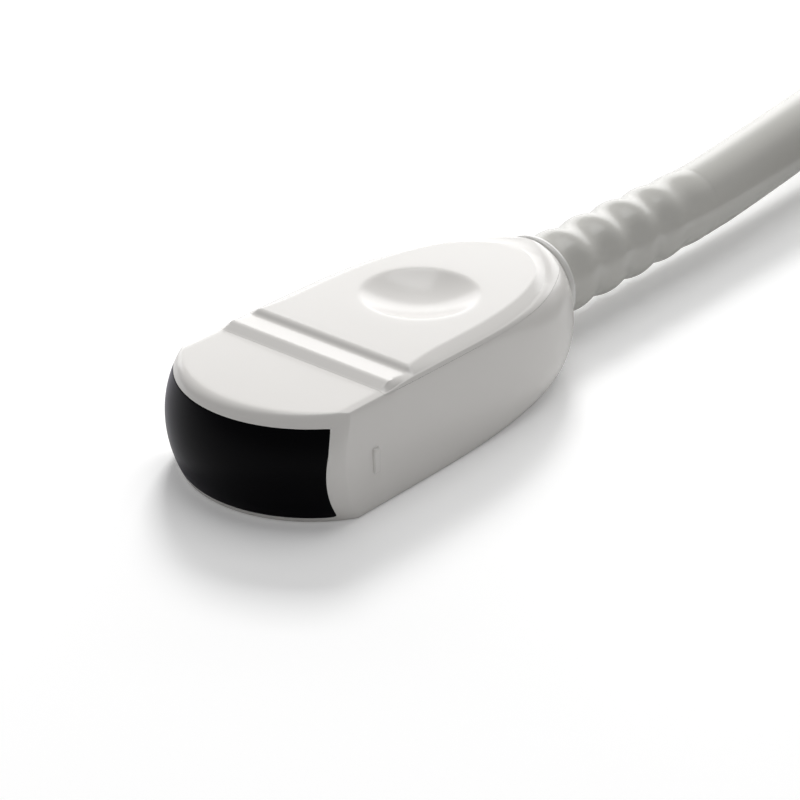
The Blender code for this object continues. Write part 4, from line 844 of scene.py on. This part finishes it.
all_stations = stations()
open_stations = [y for y in all_stations if y >= STEP_ONE_FOOT]
body_rows = [bent_ring(y) for y in all_stations]
outer_rows = nose_rows + body_rows
neck_bore = bore_row(body_rows[-1])
neck_deep = [(x, y - NECK_SEAT, z) for x, y, z in neck_bore]
inner_rows = [inner_ring(y) for y in (*reversed(open_stations), *INNER_NOSE_STATIONS)]
housing_rows = outer_rows + [neck_bore, neck_deep] + inner_rows + [nose_rows[0]]
first_open = len(nose_rows) + all_stations.index(STEP_ONE_FOOT)
last_open = len(outer_rows) - 1
first_inside = last_open + 3
last_inside = first_inside + len(open_stations) - 1


def above_seam(row, column):
    """Whether a face of the housing lies where the cover goes."""
    if first_open <= row < last_open or first_inside <= row < last_inside:
        return SEAM_INDEX <= column < RING_COUNT - SEAM_INDEX
    return False


def opening_edge():
    """Grid places round the opening, each on the outer skin with its inner one."""
    far_column = RING_COUNT - SEAM_INDEX
    far_row = len(open_stations) - 1
    places = [(0, column) for column in range(SEAM_INDEX, far_column)]
    places += [(row, far_column) for row in range(far_row)]
    places += [(far_row, column) for column in range(far_column, SEAM_INDEX, -1)]
    places += [(row, SEAM_INDEX) for row in range(far_row, 0, -1)]
    return [((first_open + row, column), (last_inside - row, column)) for row, column in places]


housing = surface(
    "probe_housing", housing_rows, shell_white, wrap=True, skip=above_seam,
    edge_pairs=opening_edge(),
)
turn_outwards(housing)
settle(housing)
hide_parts("housing")

cover_rows = [
    row[SEAM_INDEX + 1:RING_COUNT - SEAM_INDEX]
    for row, y in zip(body_rows, all_stations)
    if y >= STEP_ONE_FOOT + SEAM_LINE / 2
]
cover = surface("probe_cover", cover_rows, shell_white)
face_upwards(cover)
give_wall(cover, COVER_WALL)
settle(cover)
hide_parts("top_cover")

# %% [markdown]
# A small upright ridge on the right side tells the user by touch which end
# of the image is which. It is a cube, stretched to size, its edges rounded,
# and more than half of it is sunk into the side.

# %% Orientation ridge
MARK_Y = 12.1 * MM
MARK_HEIGHT = 6.75 * MM
MARK_WIDTH = 1.1 * MM
MARK_LENGTH = 3.4 * MM
MARK_THICKNESS = 0.7 * MM
MARK_SINK = 0.15 * MM
MARK_ROUND = 0.26 * MM

clear_selection()
bpy.ops.mesh.primitive_cube_add(
    size=1.0, location=(HALF_WIDTH - MARK_SINK, NOSE_Y + MARK_Y, MARK_HEIGHT)
)
ridge = bpy.context.object
ridge.name = "orientation_ridge"
ridge.scale = (MARK_THICKNESS, MARK_WIDTH, MARK_LENGTH)
bpy.ops.object.transform_apply(location=True, rotation=True, scale=True)
soften = ridge.modifiers.new("soften", "BEVEL")
soften.width = MARK_ROUND
soften.segments = 5
bpy.ops.object.modifier_apply(modifier=soften.name)
ridge.data.materials.append(shell_white)
settle(ridge, 60.0)

# %% [markdown]
# ## The lens
#
# The lens is soft silicone that fills the window and bulges as the nose
# does. It is lofted from its middle outwards with the same window outline,
# a hair smaller, rolled over at its edge and closed behind.

# %% Acoustic lens
LENS_FIT = 0.02 * MM
LENS_EDGE = 0.1 * MM
LENS_DEPTH = 1.3 * MM
LENS_ROWS = 26
LENS_EDGE_ROWS = 5
LENS_SPREAD = 0.975

lens_outline = window_outline(front_ring, LENS_FIT)


def scaled(outline, factor):
    """Outline drawn in towards the middle of the window."""
    return [(x * factor, FACE_MIDDLE + (z - FACE_MIDDLE) * factor) for x, z in outline]


lens_rows = []
for index in range(1, LENS_ROWS + 1):
    lens_rows.append(on_face(scaled(lens_outline, LENS_SPREAD * index / LENS_ROWS)))
for index in range(1, LENS_EDGE_ROWS + 1):
    angle = math.pi / 2 * index / LENS_EDGE_ROWS
    inset = window_outline(front_ring, LENS_FIT + LENS_EDGE * (1 - math.sin(angle)))
    lens_rows.append(on_face(inset, LENS_EDGE * (1 - math.cos(angle))))
for factor in (1.0, 0.6, 0.1):
    lens_rows.append(on_face(scaled(lens_outline, factor), LENS_DEPTH))
lens = surface("silicone_lens", lens_rows, lens_black, wrap=True)
turn_outwards(lens, fill_ends=True)
settle(lens)
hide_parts("acoustic_lens")

# %% [markdown]
# ## Neck ring and strain relief
#
# Both are turned forms, so half of each outline is spun about the lead's
# axis. The relief's ridges are low, plain waves that get lower towards the
# lead. Its front end sits in the bore of the neck.

# %% Neck ring
neck_outline = [
    (NECK_BORE, 61.45 * MM),
    (6.75 * MM, 61.45 * MM),
    (6.98 * MM, 61.55 * MM),
    (7.1 * MM, 61.8 * MM),
    (7.12 * MM, 62.1 * MM),
    (7.05 * MM, 62.5 * MM),
    (6.9 * MM, 62.85 * MM),
    (6.65 * MM, 63.05 * MM),
    (6.2 * MM, 63.12 * MM),
    (NECK_BORE, 63.12 * MM),
]
collar = spun("neck_ring", neck_outline, collar_grey)
settle(collar, 50.0)
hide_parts("neck_collar")

# %% Strain relief
RELIEF_START = 63.3 * MM
RELIEF_RADIUS = 5.75 * MM
RELIEF_TAPER = 0.35 * MM
RIDGE_PITCH = 7.4 * MM
RIDGE_HEIGHT = 0.25 * MM
RIDGE_CREST = 68.1 * MM
RIDGE_FADE = 0.75
RIDGE_FADE_START = 82.0 * MM
RELIEF_BORE = 3.3 * MM
FLANGE_RADIUS = 5.6 * MM
FLANGE_START = 57.7 * MM
FLANGE_END = 59.0 * MM
THROAT_RADIUS = 4.6 * MM
RELIEF_OVERLAP = 0.6 * MM
RELIEF_POINTS = 150


def relief_radius(y):
    """Radius along the relief: soft ridges that get lower towards its end."""
    fade = 1 - RIDGE_FADE * ease(share(y, RIDGE_FADE_START, RELIEF_END))
    wave = math.cos(2 * math.pi * (y - RIDGE_CREST) / RIDGE_PITCH)
    base = RELIEF_RADIUS - RELIEF_TAPER * share(y, RIDGE_CREST, RELIEF_END)
    return base + RIDGE_HEIGHT * fade * wave


relief_outline = [
    (RELIEF_BORE, FLANGE_START),
    (FLANGE_RADIUS, FLANGE_START),
    (FLANGE_RADIUS, FLANGE_END),
    (THROAT_RADIUS, FLANGE_END),
    (THROAT_RADIUS, RELIEF_START),
]
for index in range(RELIEF_POINTS + 1):
    y = mix(RELIEF_START, RELIEF_END, index / RELIEF_POINTS)
    relief_outline.append((relief_radius(y), y))
relief_outline += [
    (CABLE_RADIUS + 0.01 * MM, RELIEF_END + RELIEF_OVERLAP),
    (CABLE_RADIUS - 0.05 * MM, RELIEF_END + RELIEF_OVERLAP),
    (RELIEF_BORE, RELIEF_END),
]
relief = spun("ribbed_relief", relief_outline, relief_grey)
settle(relief, 50.0)
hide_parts("strain_relief")

# %% [markdown]
# ## What lies inside and on the plug
#
# The pieces inside the shell keep the engineering model's shapes. Each gets
# the finish of its real counterpart: fired ceramic, filled epoxy, copper on
# film, laminate, tinned steel and braid.

# %% Finishes of the inner pieces
BRUSH_SCALE = 400.0
BRUSH_SPREAD = 0.3
BRUSH_STRENGTH = 0.3
BRUSH_DEPTH = 0.004 * MM
WEAVE_STRENGTH = 0.5
WEAVE_DEPTH = 0.05 * MM


def brushed(name, colour, roughness, stretch):
    """Metal with fine lines drawn along one direction."""
    made = finish(name, colour, roughness, metallic=1.0)
    lines = noise(made, BRUSH_SCALE, 6.0, stretch)
    colour_drift(made, lines, colour, 0.88, 1.06)
    uneven_gloss(made, lines, roughness, BRUSH_SPREAD)
    bump(made, lines, BRUSH_STRENGTH, BRUSH_DEPTH)
    return made


def woven(name, colour, roughness, scale, metallic=0.0):
    """Fine crossed strands, from two wave textures at right angles."""
    made = finish(name, colour, roughness, metallic=metallic)
    nodes = made.node_tree.nodes
    links = made.node_tree.links
    place = nodes.new("ShaderNodeTexCoord")
    cross = nodes.new("ShaderNodeMath")
    cross.operation = "MAXIMUM"
    for direction, side in zip(("X", "Y"), cross.inputs):
        waves = nodes.new("ShaderNodeTexWave")
        waves.bands_direction = direction
        waves.inputs["Scale"].default_value = scale
        links.new(place.outputs["Object"], waves.inputs["Vector"])
        links.new(waves.outputs["Fac"], side)
    height = cross.outputs["Value"]
    colour_drift(made, height, colour, 0.6, 1.1, places=(0.2, 0.9))
    bump(made, height, WEAVE_STRENGTH, WEAVE_DEPTH)
    return made


ceramic = moulded("fired_ceramic", (0.55, 0.50, 0.36), 0.5, 900.0, 0.01 * MM, 0.06)
epoxy = moulded("filled_epoxy", (0.25, 0.18, 0.12), 0.5, 1200.0, 0.02 * MM, 0.12)
dark_epoxy = moulded("dark_epoxy", (0.12, 0.12, 0.13), 0.5, 1200.0, 0.02 * MM, 0.12)
backing = moulded("backing_compound", (0.05, 0.05, 0.055), 0.75, 700.0, 0.05 * MM, 0.2)
film = moulded("copper_film", (0.62, 0.30, 0.08), 0.35, 800.0, 0.005 * MM, 0.06)
frame_black = moulded("frame_black", (0.06, 0.06, 0.065), 0.5, 900.0, 0.01 * MM, 0.1)
laminate = moulded("green_laminate", (0.03, 0.22, 0.10), 0.4, 900.0, 0.01 * MM, 0.1)
ivory = moulded("ivory_plastic", (0.78, 0.74, 0.62), 0.5, 900.0, 0.01 * MM, 0.04)
blue_jacket = moulded("coax_jackets", (0.10, 0.14, 0.30), 0.5, 500.0, 0.08 * MM, 0.3)
seal_rubber = moulded("seal_rubber", (0.05, 0.05, 0.05), 0.7, 900.0, 0.02 * MM, 0.15)
tin = brushed("tinned_steel", (0.68, 0.68, 0.66), 0.35, (1.0, 0.05, 1.0))
screw_steel = brushed("screw_steel", (0.55, 0.55, 0.55), 0.3, (1.0, 1.0, 0.1))
braid = woven("tinned_braid", (0.60, 0.60, 0.58), 0.4, 900.0, 1.0)
strap = woven("strap_weave", (0.09, 0.09, 0.10), 0.8, 450.0)

INNER_FINISHES = {
    "cover_seal": seal_rubber,
    "matching_layer_outer": epoxy,
    "matching_layer_inner": dark_epoxy,
    "array_elements": ceramic,
    "flex_circuit_upper": film,
    "flex_circuit_lower": film,
    "backing_block": backing,
    "array_frame": frame_black,
    "interconnect_board": laminate,
    "flex_socket_upper": ivory,
    "flex_socket_lower": ivory,
    "coax_comb_upper": ivory,
    "coax_comb_lower": ivory,
    "coax_fan_upper": blue_jacket,
    "coax_fan_lower": blue_jacket,
    "screening_can_upper": tin,
    "screening_can_lower": tin,
    "cable_core": braid,
    "braid_ferrule": tin,
    "cable_clamp": tin,
    "coil_tie_a": strap,
    "coil_tie_b": strap,
    "plug_case_upper": plug_grey,
    "plug_case_lower": plug_grey,
    "plug_relief": relief_grey,
    "plug_core": braid,
    "plug_shroud": tin,
    "contact_block": frame_black,
    "plug_board": laminate,
}
for number in range(1, 5):
    INNER_FINISHES[f"board_screw_{number}"] = screw_steel
for number in range(1, 3):
    INNER_FINISHES[f"clamp_screw_{number}"] = screw_steel
    INNER_FINISHES[f"plug_screw_{number}"] = screw_steel

for node, look in INNER_FINISHES.items():
    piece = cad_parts[node]
    if not piece.material_slots:
        piece.data.materials.append(look)
    for slot in piece.material_slots:
        slot.material = look
print("inner pieces finished:", len(INNER_FINISHES))

# %% [markdown]
# ## Table, light and air
#
# The probe lies on a white table. The key light comes from behind and from
# the left, so that the side towards the camera is in shade, and the gloss
# doesn't mirror it. What the gloss mirrors is a low, wide card behind the
# probe, which draws the bright edge of the thumb dish. A soft light overhead
# opens the shade. The table shows white to the camera, but still takes the
# probe's shadow.

# %% Table
TABLE_SIZE = 6.0
TABLE_GAP = 0.02 * MM
TABLE_GLOW = 0.16

clear_selection()
bpy.ops.mesh.primitive_plane_add(size=TABLE_SIZE, location=(0.0, 0.0, -TABLE_GAP))
table = bpy.context.object
table.name = "white_table"
table_white = bpy.data.materials.new("table_white")
table_white.use_nodes = True
tree = table_white.node_tree
table_shader = tree.nodes["Principled BSDF"]
table_shader.inputs["Base Color"].default_value = (0.93, 0.93, 0.93, 1.0)
table_shader.inputs["Roughness"].default_value = 0.9
table_shader.inputs["Specular IOR Level"].default_value = 0.1
rays = tree.nodes.new("ShaderNodeLightPath")
glow = tree.nodes.new("ShaderNodeEmission")
glow.inputs["Strength"].default_value = TABLE_GLOW
both = tree.nodes.new("ShaderNodeAddShader")
choose = tree.nodes.new("ShaderNodeMixShader")
output = tree.nodes["Material Output"]
tree.links.new(table_shader.outputs["BSDF"], both.inputs[0])
tree.links.new(glow.outputs["Emission"], both.inputs[1])
tree.links.new(rays.outputs["Is Camera Ray"], choose.inputs["Fac"])
tree.links.new(table_shader.outputs["BSDF"], choose.inputs[1])
tree.links.new(both.outputs["Shader"], choose.inputs[2])
tree.links.new(choose.outputs["Shader"], output.inputs["Surface"])
table.data.materials.append(table_white)

# %% Light
PROBE_MIDDLE = Vector((0.0, NOSE_Y + 45.0 * MM, 8.0 * MM))
LIGHT_DISTANCE = 1.2
AIR_STRENGTH = 0.25


def soft_light(name, direction, width, height, power):
    """Oblong soft light that looks at the middle of the probe."""
    place = PROBE_MIDDLE + Vector(direction).normalized() * LIGHT_DISTANCE
    bpy.ops.object.light_add(type="AREA", location=place)
    lamp = bpy.context.object
    lamp.name = name
    lamp.data.shape = "RECTANGLE"
    lamp.data.size = width
    lamp.data.size_y = height
    lamp.data.energy = power
    lamp.rotation_euler = (PROBE_MIDDLE - place).to_track_quat("-Z", "Y").to_euler()
    return lamp


clear_selection()
key = soft_light("key_light", (-0.50, 0.62, 0.62), 0.3, 0.3, 9.5)
key.visible_glossy = False
soft_light("back_card", (-0.65, 0.76, 0.25), 2.0, 0.56, 6.5)
soft_light("overhead_light", (-0.10, 0.30, 1.0), 0.8, 0.8, 4.6)

world = bpy.context.scene.world or bpy.data.worlds.new("studio_air")
bpy.context.scene.world = world
world.use_nodes = True
air = world.node_tree.nodes["Background"]
air.inputs["Color"].default_value = (1.0, 1.0, 1.0, 1.0)
air.inputs["Strength"].default_value = AIR_STRENGTH
air_rays = world.node_tree.nodes.new("ShaderNodeLightPath")
seen = world.node_tree.nodes.new("ShaderNodeBackground")
seen.inputs["Color"].default_value = (1.0, 1.0, 1.0, 1.0)
seen.inputs["Strength"].default_value = 1.0
choice = world.node_tree.nodes.new("ShaderNodeMixShader")
world_out = world.node_tree.nodes["World Output"]
world.node_tree.links.new(air_rays.outputs["Is Camera Ray"], choice.inputs["Fac"])
world.node_tree.links.new(air.outputs["Background"], choice.inputs[1])
world.node_tree.links.new(seen.outputs["Background"], choice.inputs[2])
world.node_tree.links.new(choice.outputs["Shader"], world_out.inputs["Surface"])
bpy.context.scene.view_settings.view_transform = "Standard"
print("lights and table are in place")
